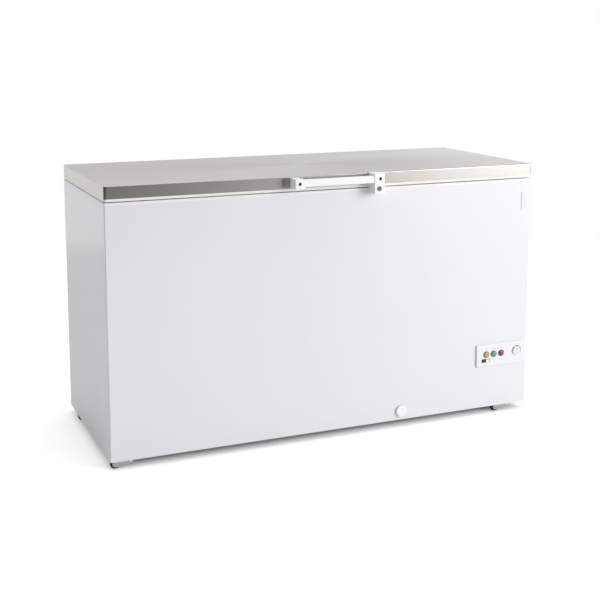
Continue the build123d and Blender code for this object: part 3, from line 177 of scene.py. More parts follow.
# %% Stucco-embossed aluminium
PEBBLE = 5.0 * MM
tank_metal, tree, shader, place = start("stucco_embossed_aluminium")
shader.inputs["Metallic"].default_value = 1.0
shader.inputs["Roughness"].default_value = 0.5
cells = add(
    tree, "ShaderNodeTexVoronoi", {"Vector": place, "Scale": 1 / PEBBLE}, feature="SMOOTH_F1"
)
shade = add(tree, "ShaderNodeTexNoise", {"Vector": place, "Scale": 6.0, "Detail": 2.0})
tint(tree, shader, shade.outputs["Fac"], "#D6D8DB", "#E4E6E8")
surface(tree, shader, cells.outputs["Distance"], 0.5 * MM)
print("embossed sheet made, pebble", PEBBLE)


# %% [markdown]
# ## Moulded plastics
# ABS and polypropylene parts come out of a fine spark-eroded mould, so they have a satin skin
# with grain of about half a millimetre. White parts are very slightly warm or cool from batch to
# batch. Rubber is the same recipe with a darker, rougher skin.

# %% Moulded plastic and rubber
def moulded(name, low, high, roughness, grain=0.5 * MM, depth=0.02 * MM):
    material, tree, shader, place = start(name)
    shader.inputs["Roughness"].default_value = roughness
    shader.inputs["IOR"].default_value = 1.52
    skin = add(tree, "ShaderNodeTexNoise", {"Vector": place, "Scale": 1 / grain, "Detail": 2.0})
    batch = add(tree, "ShaderNodeTexNoise", {"Vector": place, "Scale": 5.0, "Detail": 1.0})
    tint(tree, shader, batch.outputs["Fac"], low, high)
    surface(tree, shader, skin.outputs["Fac"], depth)
    return material


white_abs = moulded("moulded_white_abs", "#F2F2F2", "#F7F7F6", 0.32)
frame_abs = moulded("extruded_white_pvc_frame", "#E9E7E6", "#F1EFEE", 0.36)
liner_ps = moulded("vacuum_formed_white_polystyrene", "#EDEEF0", "#F5F6F7", 0.28, 1.5 * MM)
grey_abs = moulded("moulded_grey_abs", "#5C5E62", "#6A6C70", 0.3)
panel_abs = moulded("moulded_panel_abs", "#E8E8EA", "#ECECEE", 0.36)
badge_grey = moulded("satin_badge_plastic", "#E2E3E6", "#EAEBED", 0.25)
navy_abs = moulded("moulded_dark_switch_nylon", "#1B2233", "#222A3C", 0.3)
black_abs = moulded("moulded_black_nylon", "#17181A", "#212224", 0.45)
rubber = moulded("moulded_black_rubber", "#121213", "#1B1B1C", 0.6, 0.8 * MM, 0.04 * MM)
gasket_pvc = moulded("extruded_grey_pvc_gasket", "#A9ABAD", "#B9BBBC", 0.5)
foam_skin = moulded("polyurethane_foam", "#D9C98C", "#E8DBA6", 0.85, 1.2 * MM, 0.3 * MM)
mark_ink = moulded("screen_printed_grey_ink", "#77797E", "#85878C", 0.5)
scale_ink = moulded("screen_printed_charcoal_ink", "#3C3D41", "#46474B", 0.5)
print("plastics made")


# %% [markdown]
# ## Indicator lenses
# Each lamp is a clear-tinted acrylic dome. Unlit, it shows its own colour, a little darker towards
# the edges of fine facets about 1.6 mm across. A smooth coat gives it depth.

# %% Tinted acrylic lenses
def lens(name, low, high):
    material, tree, shader, place = start(name)
    shader.inputs["Roughness"].default_value = 0.12
    shader.inputs["IOR"].default_value = 1.49
    shader.inputs["Coat Weight"].default_value = 0.5
    facets = add(tree, "ShaderNodeTexVoronoi", {"Vector": place, "Scale": 1 / (1.6 * MM)})
    tint(tree, shader, facets.outputs["Distance"], low, high)
    surface(tree, shader, facets.outputs["Distance"], 0.08 * MM)
    return material


amber = lens("amber_acrylic_lens", "#D8AE52", "#B58A3C")
green = lens("green_acrylic_lens", "#6BA3A1", "#4C8382")
red = lens("red_acrylic_lens", "#A63350", "#7F2440")
print("lenses made")


# %% [markdown]
# ## Dress the CAD parts
# Every part that keeps its CAD shape gets the finish of the real piece. The table reads as a bill
# of materials, from finish to parts.

# %% Assign finishes
finishes = [
    (white_steel, "outer_wrap rear_panel rear_vent_cover"),
    (stainless, "lid_skin"),
    (zinc, "bottom_pan compartment_liner caster_brackets caster_axles base_bolts rear_screws "
           "hinge_leaf_screws handle_screws hinge_pins lock_keeper lock_bolt"),
    (hinge_enamel, "hinge_bases hinge_leaves"),
    (spring_steel, "hinge_springs"),
    (panel_abs, "control_panel thermostat_knob"),
    (white_abs, "handle_bracket handle_bar lock_housing drain_outlet "
                "drain_cap drain_tube tank_drain_plug side_vent_grille rear_spacers"),
    (frame_abs, "top_collar lid_frame"),
    (liner_ps, "lid_liner"),
    (lock_chrome, "lock_cylinder"),
    (tank_metal, "inner_tank"),
    (coil_metal, "evaporator_coil"),
    (copper, "condenser_coil refrigerant_pipes filter_drier thermostat_bulb"),
    (foam_skin, "cabinet_foam lid_foam"),
    (black_enamel, "compressor"),
    (rubber, "compressor_grommets cord_gland wheel_front_left wheel_front_right "
             "wheel_rear_left wheel_rear_right"),
    (gasket_pvc, "lid_gasket"),
    (black_abs, "compressor_terminal_cover thermostat_body"),
    (navy_abs, "switch_body rocker_switch"),
    (grey_abs, "lamp_bezels"),
    (badge_grey, "badge_plate"),
    (amber, "lamp_yellow"),
    (green, "lamp_green"),
    (red, "lamp_red"),
    (basket_coat, "basket_left basket_right"),
]
dressed = 0
for material, names in finishes:
    for name in names.split():
        cad = frame["nodes"][name]
        cad.data.materials.clear()
        cad.data.materials.append(material)
        dressed += 1
print("parts dressed:", dressed)


# %% [markdown]
# ## Mesh helpers
# A new piece is made from a bmesh, gets its finish, rides on the body of the CAD part that it
# belongs to, and is smoothed by angle so that flat faces stay flat.

# %% Making a piece
def body_name(node):
    """The moving body that a CAD node belongs to."""
    bodies = frame["record"]["behaviour"]["bodies"]
    return next(body for body, names in bodies.items() if node in names)


def finish_piece(piece, node, material, replaces=False):
    """Dress a piece, and let it ride with a CAD node or stand for it."""
    piece.data.materials.clear()
    piece.data.materials.append(material)
    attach(piece, body_name(node))
    if replaces:
        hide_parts(node)
    return piece


def from_bmesh(name, shape, sharp=35.0):
    """An object from a bmesh, smooth except at edges sharper than `sharp` degrees."""
    bmesh.ops.remove_doubles(shape, verts=shape.verts, dist=1e-7)
    bmesh.ops.recalc_face_normals(shape, faces=shape.faces)
    mesh = bpy.data.meshes.new(name)
    shape.to_mesh(mesh)
    shape.free()
    for polygon in mesh.polygons:
        polygon.use_smooth = True
    mesh.set_sharp_from_angle(angle=math.radians(sharp))
    piece = bpy.data.objects.new(name, mesh)
    bpy.context.collection.objects.link(piece)
    return piece


def tube(name, routes, radius, sides=10, closed=False):
    """Round wire along each route of points, joined into one piece."""
    shape = bmesh.new()
    for route in routes:
        points = [Vector(p) for p in route]
        count = len(points)
        rings = []
        normal = None
        for i, point in enumerate(points):
            if closed:
                tangent = (points[(i + 1) % count] - points[i - 1]).normalized()
            else:
                tangent = (points[min(i + 1, count - 1)] - points[max(i - 1, 0)]).normalized()
            if normal is None:
                normal = tangent.orthogonal().normalized()
            normal = (normal - tangent * normal.dot(tangent)).normalized()
            across = tangent.cross(normal)
            angles = [2 * math.pi * k / sides for k in range(sides)]
            rings.append([
                shape.verts.new(point + (normal * math.cos(a) + across * math.sin(a)) * radius)
                for a in angles
            ])
        spans = count if closed else count - 1
        for i in range(spans):
            low = rings[i]
            high = rings[(i + 1) % count]
            for k in range(sides):
                shape.faces.new((low[k], low[(k + 1) % sides], high[(k + 1) % sides], high[k]))
        if not closed:
            shape.faces.new(rings[0])
            shape.faces.new(rings[-1])
    return from_bmesh(name, shape)


# %% [markdown]
# ## Hanging wire baskets
# A basket is resistance-welded from drawn wire: a thick rim, thinner wires bent down the sides and
# across the bottom, then dipped in white plastic. The CAD part is flat grids, so round wires take
# its place. U-shaped wires run front to rear and side to side, and round loops tie them together.

# %% Baskets from bent wire
RIM_R = 2.4 * MM
WIRE_R = 1.5 * MM
WIRE_PITCH = 25.0 * MM
BEND = 14.0 * MM
LOOP_HEIGHTS = (40.0 * MM, 95.0 * MM, 150.0 * MM)
WALL_INSET = 9.0 * MM


def rounded_u(a, b, top, bottom, bend, steps=6):
    """(distance, height) points of a U between a and b, with round lower corners."""
    points = [(a, top)]
    for k in range(steps + 1):
        turn = math.pi / 2 * k / steps
        points.append((a + bend - bend * math.cos(turn), bottom + bend - bend * math.sin(turn)))
    for k in range(steps + 1):
        turn = math.pi / 2 * k / steps
        points.append((b - bend + bend * math.sin(turn), bottom + bend - bend * math.cos(turn)))
    points.append((b, top))
    return points


def rounded_loop(x, y, z, bend, steps=6):
    """A closed rectangle of points with round corners at height z."""
    corners = [(x[1] - bend, y[1] - bend, 0), (x[0] + bend, y[1] - bend, 90)]
    corners += [(x[0] + bend, y[0] + bend, 180), (x[1] - bend, y[0] + bend, 270)]
    points = []
    for cx, cy, first in corners:
        for k in range(steps + 1):
            turn = math.radians(first + 90 * k / steps)
            points.append((cx + bend * math.cos(turn), cy + bend * math.sin(turn), z))
    return points


def basket(node):
    low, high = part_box(node)
    rim_z = high[2] - RIM_R
    floor = low[2] + WIRE_R
    rim_x = (low[0] + RIM_R, high[0] - RIM_R)
    rim_y = (low[1] + RIM_R, high[1] - RIM_R)
    wall_x = (rim_x[0] + 1.5 * MM, rim_x[1] - 1.5 * MM)
    wall_y = (low[1] + WALL_INSET, high[1] - WALL_INSET)
    rim = rounded_loop(rim_x, rim_y, rim_z, 8 * MM)
    loops = [rounded_loop(wall_x, wall_y, floor + up, BEND) for up in LOOP_HEIGHTS]
    wires = []
    count_y = int((wall_y[1] - wall_y[0] - 2 * BEND) / WIRE_PITCH)
    for i in range(count_y + 1):
        y = wall_y[0] + BEND + (wall_y[1] - wall_y[0] - 2 * BEND) * i / count_y
        wires.append([(x, y, z) for x, z in rounded_u(*wall_x, rim_z, floor, BEND)])
    count_x = int((wall_x[1] - wall_x[0] - 2 * BEND) / WIRE_PITCH)
    for i in range(count_x + 1):
        x = wall_x[0] + BEND + (wall_x[1] - wall_x[0] - 2 * BEND) * i / count_x
        bent = [(x, y, z) for y, z in rounded_u(*wall_y, rim_z, floor + 2 * WIRE_R, BEND)]
        bent = [(x, rim_y[0], rim_z)] + bent + [(x, rim_y[1], rim_z)]
        wires.append(bent)
    body = tube(f"{node}_wires", wires, WIRE_R, 8)
    edge = tube(f"{node}_loops", loops, WIRE_R, 8, closed=True)
    top = tube(f"{node}_rim", [rim], RIM_R, 12, closed=True)
    finish_piece(body, node, basket_coat, replaces=True)
    finish_piece(edge, node, basket_coat)
    finish_piece(top, node, basket_coat)
    print(node, "wires:", len(wires))


for name in ("basket_left", "basket_right"):
    basket(name)


# %% [markdown]
# ## Hinge springs
# A torsion spring round each hinge pin carries half the lid's weight. It is a coil of 2.2 mm
# wire. The CAD part is a plain sleeve of the same size, so the real coil takes its place.

# %% Coiled springs
SPRING_WIRE = 1.1 * MM
SPRING_LENGTH = 38.0 * MM
TURNS = 14
STEPS_PER_TURN = 16
low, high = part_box("hinge_springs")
spring_y = (low[1] + high[1]) / 2
spring_z = (low[2] + high[2]) / 2
around = (high[2] - low[2]) / 2 - SPRING_WIRE
steps = TURNS * STEPS_PER_TURN
travel = SPRING_LENGTH - 2 * SPRING_WIRE
coil_points = []
for middle in (low[0] + SPRING_LENGTH / 2, high[0] - SPRING_LENGTH / 2):
    coil = []
    first_x = middle - SPRING_LENGTH / 2 + SPRING_WIRE
    for k in range(steps + 1):
        turn = 2 * math.pi * k / STEPS_PER_TURN
        x = first_x + travel * k / steps
        coil.append((x, spring_y + around * math.cos(turn), spring_z + around * math.sin(turn)))
    coil_points.append(coil)
springs = tube("hinge_spring_coils", coil_points, SPRING_WIRE, 8)
finish_piece(springs, "hinge_springs", spring_steel, replaces=True)
print("spring turns:", TURNS)

# %% [markdown]
# ## Printed scale and lamp marks
# The panel carries a printed arc round the knob, thin at its cold end and wide at its warm end,
# and a small mark over each lamp. Ink has almost no thickness, so each mark is a film a tenth of
# a millimetre thick on the panel's face.

# %% Printed marks
INK = 0.1 * MM
knob_low, knob_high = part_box("thermostat_knob")
panel_low, panel_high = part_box("control_panel")
knob_x = (knob_low[0] + knob_high[0]) / 2
knob_z = (knob_low[2] + knob_high[2]) / 2
knob_r = (knob_high[0] - knob_low[0]) / 2


def film(name, outlines, face):
    """Flat outlines of (x, z) points on a face that looks along -Y, one ink film thick."""
    shape = bmesh.new()
    for outline in outlines:
        near = [shape.verts.new((x, face - INK, z)) for x, z in outline]
        far = [shape.verts.new((x, face, z)) for x, z in outline]
        count = len(outline)
        shape.faces.new(near)
        shape.faces.new(far)
        for i in range(count):
            shape.faces.new((near[i], near[(i + 1) % count], far[(i + 1) % count], far[i]))
    return from_bmesh(name, shape)


ARC_FROM = 215.0
ARC_TO = -35.0
ARC_STEPS = 40
ARC_GAP = 1.6 * MM
ARC_THIN = 0.4 * MM
ARC_GROWTH = 2.8 * MM
inner = knob_r + ARC_GAP
arcs = []
for k in range(ARC_STEPS):
    ends = [math.radians(ARC_FROM + (ARC_TO - ARC_FROM) * (k + d) / ARC_STEPS) for d in (0, 1)]
    widths = [ARC_THIN + ARC_GROWTH * (k + d) / ARC_STEPS for d in (0, 1)]
    outline = [(knob_x + inner * math.cos(a), knob_z + inner * math.sin(a)) for a in ends]
    outline += [
        (knob_x + (inner + w) * math.cos(a), knob_z + (inner + w) * math.sin(a))
        for a, w in reversed(list(zip(ends, widths)))
    ]
    arcs.append(outline)
finish_piece(film("knob_scale", arcs, panel_low[1]), "control_panel", scale_ink)

MARK_ABOVE = 9.0 * MM
MARK_HALF = 3.0 * MM
MARK_HALF_HEIGHT = 0.6 * MM
marks = []
for lamp in ("lamp_yellow", "lamp_green", "lamp_red"):
    lamp_low, lamp_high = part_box(lamp)
    x = (lamp_low[0] + lamp_high[0]) / 2
    z = lamp_high[2] + MARK_ABOVE
    corners = ((-1, -1), (1, -1), (1, 1), (-1, 1))
    marks.append([(x + dx * MARK_HALF, z + dz * MARK_HALF_HEIGHT) for dx, dz in corners])
finish_piece(film("lamp_marks", marks, panel_low[1]), "control_panel", mark_ink)
print("marks:", len(marks), "scale steps:", ARC_STEPS)

# %% [markdown]
# ## Handle ribs and screw caps
# The handle's end blocks are moulded in one with fine upright ribs on their flanks, which give
# fingers some grip and hide sink marks. A small black oval cap sits over each fixing screw. Its
# black is painted shade, standing for the dark of the screw recess. Ribs are half-round ridges
# 0.9 mm high. Each cap is a low dome, turned a little as fitted.

# %% Ribs
RIB_HEIGHT = 0.9 * MM
RIB_HALF = 1.5 * MM
RIB_PITCH = 6.0 * MM


def ribs(name, node, x, y_span, z_span):
    """Half-round upright ridges on a flank that faces -X."""
    shape = bmesh.new()
    count = int((y_span[1] - y_span[0]) / RIB_PITCH)
    for i in range(count):
        y = y_span[0] + RIB_PITCH * (i + 0.5)
        rows = []
        for z, shrink in ((z_span[0], 0.2), (z_span[0] + MM, 1), (z_span[1] - MM, 1), (z_span[1], 0.2)):
            turns = [math.pi * k / 8 for k in range(9)]
            rows.append([
                shape.verts.new((x - RIB_HEIGHT * shrink * math.sin(t), y - RIB_HALF * math.cos(t), z))
                for t in turns
            ])
        for low_row, high_row in zip(rows, rows[1:]):
            for k in range(8):
                shape.faces.new((low_row[k], low_row[k + 1], high_row[k + 1], high_row[k]))
            shape.faces.new((low_row[0], high_row[0], high_row[8], low_row[8]))
        shape.faces.new(rows[0])
        shape.faces.new(rows[-1])
    finish_piece(from_bmesh(name, shape), node, white_abs)
    print(name, count)


bracket_low, bracket_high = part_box("handle_bracket")
housing_low, housing_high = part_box("lock_housing")
bar_low, bar_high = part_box("handle_bar")
ribs(
    "bracket_ribs", "handle_bracket", bracket_low[0],
    (bracket_low[1] + 4 * MM, bracket_high[1] - 3 * MM),
    (bracket_low[2] + 3 * MM, bracket_high[2] - 3 * MM),
)
ribs(
    "housing_ribs", "lock_housing", housing_low[0],
    (bar_high[1] + 3 * MM, housing_high[1] - 16 * MM),
    (housing_low[2] + 5 * MM, bar_low[2] - 3 * MM),
)


# %% [markdown]
# Caps and rivet heads share one shape: a low dome on a short skirt. The two black caps sit over the
# screws, so their places come from the screws' own box. The left screw is the lower of the two.

# %% Screw caps
def dome(shape, middle, radii, height, tilt=0.0, rings=5, sides=24):
    """A low oval dome that faces -Y, on a short straight skirt."""
    rows = []
    for r in range(rings + 1):
        turn = math.pi / 2 * r / rings
        size = math.cos(turn)
        out = height * (0.3 + 0.7 * math.sin(turn))
        if r == rings:
            break
        row = []
        for k in range(sides):
            a = 2 * math.pi * k / sides
            u = radii[0] * size * math.cos(a)
            v = radii[1] * size * math.sin(a)
            x = u * math.cos(tilt) - v * math.sin(tilt)
            z = u * math.sin(tilt) + v * math.cos(tilt)
            row.append(shape.verts.new((middle[0] + x, middle[1] - out, middle[2] + z)))
        rows.append(row)
    foot = [shape.verts.new((v.co.x, middle[1], v.co.z)) for v in rows[0]]
    rows.insert(0, foot)
    tip = shape.verts.new((middle[0], middle[1] - height, middle[2]))
    for low_row, high_row in zip(rows, rows[1:]):
        for k in range(sides):
            shape.faces.new((low_row[k], low_row[(k + 1) % sides], high_row[(k + 1) % sides], high_row[k]))
    for k in range(sides):
        shape.faces.new((rows[-1][k], rows[-1][(k + 1) % sides], tip))
    shape.faces.new(foot)


screw_low, screw_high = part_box("handle_screws")
SCREW_HEAD = 4.0 * MM
CAP_RADII = (4.7 * MM, 5.9 * MM)
CAP_HEIGHT = 1.2 * MM
CAP_TILT = math.radians(-28)
handle_front = bracket_low[1]
caps = bmesh.new()
cap_spots = [
    (screw_low[0] + SCREW_HEAD, handle_front, screw_low[2] + SCREW_HEAD),
    (screw_high[0] - SCREW_HEAD, handle_front, screw_high[2] - SCREW_HEAD),
]
print("caps at", [[round(v, 4) for v in spot] for spot in cap_spots])
for spot in cap_spots:
    dome(caps, spot, CAP_RADII, CAP_HEIGHT, tilt=CAP_TILT)
# The caps' black is painted shade, standing for the dark of the screw recesses.
black_painted_recess_shade = moulded("glossy_black_painted_recess_shade", "#2A2B2D", "#343537", 0.22)
finish_piece(from_bmesh("handle_screw_caps_painted_shade", caps), "handle_bracket", black_painted_recess_shade)

# %% [markdown]
# A bright rivet closes each caster's cheeks at their far end. Its head is nickel-plated and domed.

# %% Caster rivets
RIVET_REACH = 49.0 * MM
RIVET_UP = 19.0 * MM
RIVET_RADII = (4.3 * MM, 4.3 * MM)
RIVET_HEIGHT = 1.1 * MM
rivets = bmesh.new()
caster_low, caster_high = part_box("caster_brackets")
for wheel in ("front_left", "front_right", "rear_left", "rear_right"):
    wheel_low, wheel_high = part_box(f"wheel_{wheel}")
    axle_x = (wheel_low[0] + wheel_high[0]) / 2
    cheek_y = wheel_low[1] - (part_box("wheel_front_left")[0][1] - caster_low[1])
    dome(rivets, (axle_x + RIVET_REACH, cheek_y, RIVET_UP), RIVET_RADII, RIVET_HEIGHT, sides=16)
bright_nickel = brushed("bright_nickel_rivet", "#E2E3E4", "#F0F0F1", 0.22, 0.8 * MM, "Z")
finish_piece(from_bmesh("caster_rivets", rivets), "caster_brackets", bright_nickel)
print("cheek length", round(caster_high[0] - caster_low[0], 4))

# %% [markdown]
# ## Two-colour rocker
# The fast-freeze switch has a rocker with one dark half and one clear white half, so that its
# state can be read from across a room. It is a shallow V across its width with rounded edges.

# %% Rocker
rocker_low, rocker_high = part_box("rocker_switch")
rock_x = (rocker_low[0], (rocker_low[0] + rocker_high[0]) / 2, rocker_high[0])
rock_z = (rocker_low[2], rocker_high[2])
rock_front = rocker_low[1]
rocker_shape = bmesh.new()
profile = [
    (rock_x[0], rock_front), (rock_x[1], rock_front + 1.4 * MM), (rock_x[2], rock_front + 0.9 * MM),
    (rock_x[2], rocker_high[1]), (rock_x[1], rocker_high[1]), (rock_x[0], rocker_high[1]),
]
ends = [[rocker_shape.verts.new((x, y, z)) for x, y in profile] for z in rock_z]
for k in range(6):
    rocker_shape.faces.new((ends[0][k], ends[0][(k + 1) % 6], ends[1][(k + 1) % 6], ends[1][k]))
for row in ends:
    rocker_shape.faces.new((row[0], row[1], row[4], row[5]))
    rocker_shape.faces.new((row[1], row[2], row[3], row[4]))
rocker = from_bmesh("rocker_halves", rocker_shape)
clear_white = moulded("translucent_white_nylon", "#E9E9F0", "#F2F2F6", 0.25)
finish_piece(rocker, "rocker_switch", navy_abs, replaces=True)
rocker.data.materials.append(clear_white)
for polygon in rocker.data.polygons:
    polygon.material_index = 1 if polygon.center.x > rock_x[1] + MM else 0
soft = rocker.modifiers.new("soft_edges", "BEVEL")
soft.width = 0.5 * MM
soft.segments = 3
print("rocker", [round(1000 * (rocker_high[i] - rocker_low[i]), 1) for i in range(3)])

# %% [markdown]
# ## Badge edges in painted shade
# The small upright badge has a blank face. Two grey film lines on it are painted shade: a full-height one
# along its left edge stands for the shaded side of the raised plate, and a shorter one near its right edge
# stands for the shaded side of a raised arc.

# %% Badge edge shade
badge_low, badge_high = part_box("badge_plate")
SHADE_LINE_WIDTH = 1.3 * MM
END_GAP = 9.0 * MM
# Painted shade: a full-height strip on the left edge and a shorter one near the right edge.
edges = [
    (badge_low[0], badge_low[0] + SHADE_LINE_WIDTH, badge_low[2], badge_high[2]),
    (badge_high[0] - SHADE_LINE_WIDTH, badge_high[0], badge_low[2] + END_GAP, badge_high[2] - END_GAP),
]
outlines = [[(a, c), (b, c), (b, d), (a, d)] for a, b, c, d in edges]
badge_painted_shade = moulded("light_grey_painted_edge_shade", "#A9ABB0", "#B5B7BB", 0.5)
finish_piece(film("badge_painted_edge_shade", outlines, badge_low[1]), "badge_plate", badge_painted_shade)
print("badge lines:", len(outlines))

# %% [markdown]
# ## Camera
# The camera looks down a little from the front left. Its place is measured from the middle of the
# lid's box.

# %% Camera
lid_low, lid_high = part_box("lid_skin")
middle_x = (lid_low[0] + lid_high[0]) / 2
middle_y = (lid_low[1] + lid_high[1]) / 2
YAW = math.radians(22.94)
PITCH = math.radians(8.5)
CAMERA_LEFT = 1.480
CAMERA_BACK = 3.5095
CAMERA_UP = 1.3275
camera_data = bpy.data.cameras.new("camera")
camera_data.lens = 66.74
camera_data.sensor_width = 36.0
camera_data.shift_y = -0.169
camera_data.clip_end = 100.0
camera = bpy.data.objects.new("camera", camera_data)
camera.location = (middle_x - CAMERA_LEFT, middle_y - CAMERA_BACK, CAMERA_UP)
forward = Vector((
    math.sin(YAW) * math.cos(PITCH), math.cos(YAW) * math.cos(PITCH), -math.sin(PITCH)
))
camera.rotation_euler = forward.to_track_quat("-Z", "Y").to_euler()
bpy.context.collection.objects.link(camera)
bpy.context.scene.camera = camera
print("camera at", [round(v, 3) for v in camera.location])

# %% [markdown]
# ## Floor
# The freezer stands on a pale light table. Its glow is seen by the camera only, so it whitens the
# floor without lighting the object. The glow is faded out by place under the cabinet's outline.
# That is a painted contact shadow, darker than the lamps alone would make it.

# %% Floor
FLOOR_RADIUS = 3.6
GLOW = 0.4
PAINTED_SHADOW_INSET = -75.0 * MM
PAINTED_SHADOW_OUTSET = 25.0 * MM
floor_shape = bmesh.new()
bmesh.ops.create_circle(floor_shape, cap_ends=True, segments=96, radius=FLOOR_RADIUS)
floor = from_bmesh("studio_floor", floor_shape)
floor_paint, tree, shader, place = start("opal_acrylic_light_table")
shader.inputs["Roughness"].default_value = 0.85
shader.inputs["Specular IOR Level"].default_value = 0.1
shader.inputs["Emission Color"].default_value = linear("#FFFFFF")
wrap_low, wrap_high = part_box("outer_wrap")
seen_first = add(tree, "ShaderNodeLightPath").outputs["Is Camera Ray"]
spot = add(tree, "ShaderNodeSeparateXYZ", {"Vector": place})
outside = []
for axis, side in enumerate("XY"):
    middle = (wrap_low[axis] + wrap_high[axis]) / 2
    half = (wrap_high[axis] - wrap_low[axis]) / 2
    shifted = add(tree, "ShaderNodeMath", {0: spot.outputs[side], 1: middle}, operation="SUBTRACT")
    away = add(tree, "ShaderNodeMath", {0: shifted.outputs["Value"]}, operation="ABSOLUTE")
    past = add(tree, "ShaderNodeMath", {0: away.outputs["Value"], 1: half}, operation="SUBTRACT")
    outside.append(past.outputs["Value"])
# Painted shadow: the glow fades to nothing inside the cabinet's outline, by place on the floor.
beyond = add(tree, "ShaderNodeMath", {0: outside[0], 1: outside[1]}, operation="MAXIMUM")
glow_outside_painted_shadow = add(tree, "ShaderNodeMapRange", {
    "Value": beyond.outputs["Value"], "From Min": PAINTED_SHADOW_INSET, "From Max": PAINTED_SHADOW_OUTSET, "To Max": GLOW
}, interpolation_type="SMOOTHSTEP").outputs["Result"]
glow = add(tree, "ShaderNodeMath", {0: seen_first, 1: glow_outside_painted_shadow}, operation="MULTIPLY")
tree.links.new(glow.outputs["Value"], shader.inputs["Emission Strength"])
speck = add(tree, "ShaderNodeTexNoise", {"Vector": place, "Scale": 3.0})
tint(tree, shader, speck.outputs["Fac"], "#F6F6F6", "#FAFAFA")
floor.data.materials.append(floor_paint)
print("floor radius:", FLOOR_RADIUS)


# %% [markdown]
# The room is white with one dark wall behind the camera, as in a studio with black cloth hung
# there. Polished metal shows what it faces, so the lid's front edge mirrors the cloth on its left
# and the white side wall on its right. A hard edge between them would look like a stripe, so the
# change is spread over a few degrees. A compass angle round the room is worked out from the
# direction that a ray leaves in. The camera itself sees plain white behind the object.

# %% Room
DARK_FROM = -75.0
DARK_TO = 24.5
EDGE = 6.0
world = bpy.data.worlds.new("white_room")
bpy.context.scene.world = world
world.use_nodes = True
room = world.node_tree
room.nodes.clear()
where = add(room, "ShaderNodeTexCoord").outputs["Generated"]
axes = add(room, "ShaderNodeSeparateXYZ", {"Vector": where})
toward = add(room, "ShaderNodeMath", {0: axes.outputs["Y"], 1: -1.0}, operation="MULTIPLY").outputs["Value"]
compass = add(
    room, "ShaderNodeMath", {0: axes.outputs["X"], 1: toward}, operation="ARCTAN2"
).outputs["Value"]
past_right = add(room, "ShaderNodeMapRange", {
    "Value": compass, "From Min": math.radians(DARK_TO), "From Max": math.radians(DARK_TO + EDGE)
}, interpolation_type="SMOOTHSTEP").outputs["Result"]
past_left = add(room, "ShaderNodeMapRange", {
    "Value": compass, "From Min": math.radians(DARK_FROM), "From Max": math.radians(DARK_FROM - EDGE)
}, interpolation_type="SMOOTHSTEP").outputs["Result"]
above = add(room, "ShaderNodeMapRange", {
    "Value": axes.outputs["Z"], "From Min": 0.22, "From Max": 0.6
}, interpolation_type="SMOOTHSTEP").outputs["Result"]
sides = add(room, "ShaderNodeMath", {0: past_right, 1: past_left}, operation="MAXIMUM").outputs["Value"]
open_room = add(room, "ShaderNodeMath", {0: sides, 1: above}, operation="MAXIMUM").outputs["Value"]
wall = add(room, "ShaderNodeMapRange", {
    "Value": open_room, "To Min": 0.05, "To Max": 0.88
}).outputs["Result"]
left_dim = add(room, "ShaderNodeMapRange", {
    "Value": axes.outputs["X"], "From Min": -1.0, "From Max": 0.1, "To Min": 0.47, "To Max": 1.0
}, interpolation_type="SMOOTHSTEP").outputs["Result"]
panel_end = add(room, "ShaderNodeMapRange", {
    "Value": compass, "From Min": math.radians(72.0), "From Max": math.radians(58.0)
}, interpolation_type="SMOOTHSTEP").outputs["Result"]
panel_top = add(room, "ShaderNodeMapRange", {
    "Value": axes.outputs["Z"], "From Min": 0.35, "From Max": 0.15, "To Max": 1.15
}, interpolation_type="SMOOTHSTEP").outputs["Result"]
panel_side = add(room, "ShaderNodeMath", {0: past_right, 1: panel_end}, operation="MULTIPLY")
panel = add(
    room, "ShaderNodeMath", {0: panel_side.outputs["Value"], 1: panel_top}, operation="MULTIPLY"
).outputs["Value"]
base = add(room, "ShaderNodeMath", {0: wall, 1: left_dim}, operation="MULTIPLY").outputs["Value"]
backward = add(room, "ShaderNodeMapRange", {
    "Value": axes.outputs["Y"], "From Min": 0.6, "From Max": 0.9
}, interpolation_type="SMOOTHSTEP").outputs["Result"]
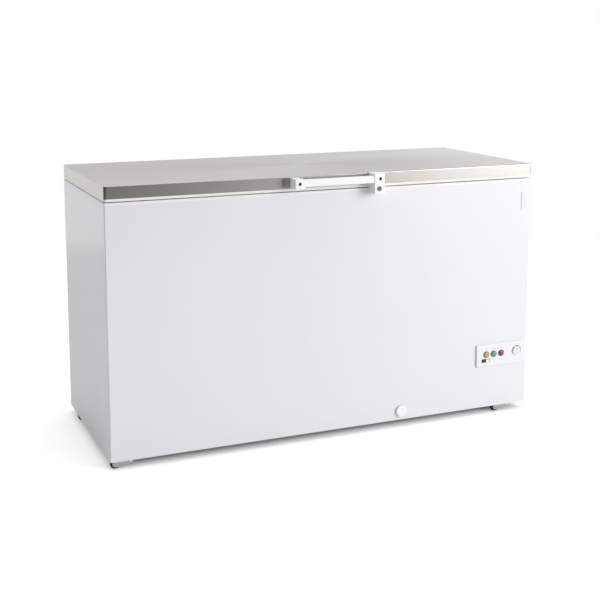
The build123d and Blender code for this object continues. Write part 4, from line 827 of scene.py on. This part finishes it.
window_left = add(room, "ShaderNodeMapRange", {
    "Value": axes.outputs["X"], "From Min": -0.04, "From Max": -0.18, "To Max": 0.45
}, interpolation_type="SMOOTHSTEP").outputs["Result"]
window_right = add(room, "ShaderNodeMapRange", {
    "Value": axes.outputs["X"], "From Min": 0.42, "From Max": 0.6, "To Max": 0.55
}, interpolation_type="SMOOTHSTEP").outputs["Result"]
windows = add(room, "ShaderNodeMath", {0: window_left, 1: window_right}, operation="ADD")
behind = add(
    room, "ShaderNodeMath", {0: windows.outputs["Value"], 1: backward}, operation="MULTIPLY"
).outputs["Value"]
bright = add(room, "ShaderNodeMath", {0: panel, 1: behind}, operation="ADD").outputs["Value"]
power = add(room, "ShaderNodeMath", {0: base, 1: bright}, operation="ADD").outputs["Value"]
lit = add(room, "ShaderNodeBackground", {"Color": linear("#FFFFFF"), "Strength": power})
seen = add(room, "ShaderNodeBackground", {"Color": linear("#FFFFFF"), "Strength": 1.0})
ray = add(room, "ShaderNodeLightPath")
both = add(room, "ShaderNodeMixShader", {
    0: ray.outputs["Is Camera Ray"], 1: lit.outputs["Background"], 2: seen.outputs["Background"]
})
add(room, "ShaderNodeOutputWorld", {"Surface": both.outputs["Shader"]})
print("room nodes:", len(room.nodes))


# %% [markdown]
# ## Lamps
# A large key lamp from the right lights the side and gives the floor its shadow. A weaker one
# overhead opens the shade on the lid. The plain view transform keeps whites as they were mixed.

# %% Lamps
def soft_lamp(name, at, aim, size, power):
    data = bpy.data.lights.new(name, "AREA")
    data.shape = "RECTANGLE"
    data.size = size[0]
    data.size_y = size[1]
    data.energy = power
    lamp = bpy.data.objects.new(name, data)
    lamp.location = at
    lamp.rotation_euler = (Vector(aim) - Vector(at)).to_track_quat("-Z", "Y").to_euler()
    bpy.context.collection.objects.link(lamp)
    return lamp


lamps = [
    soft_lamp("key_lamp", (3.6, -4.2, 1.9), (0, 0, 0.45), (2.6, 2.6), 132),
    soft_lamp("top_lamp", (0.3, 0.2, 3.6), (0, 0, 0), (3.0, 2.0), 12),
]
bpy.context.scene.view_settings.view_transform = "Standard"
print("lamps:", len(lamps))
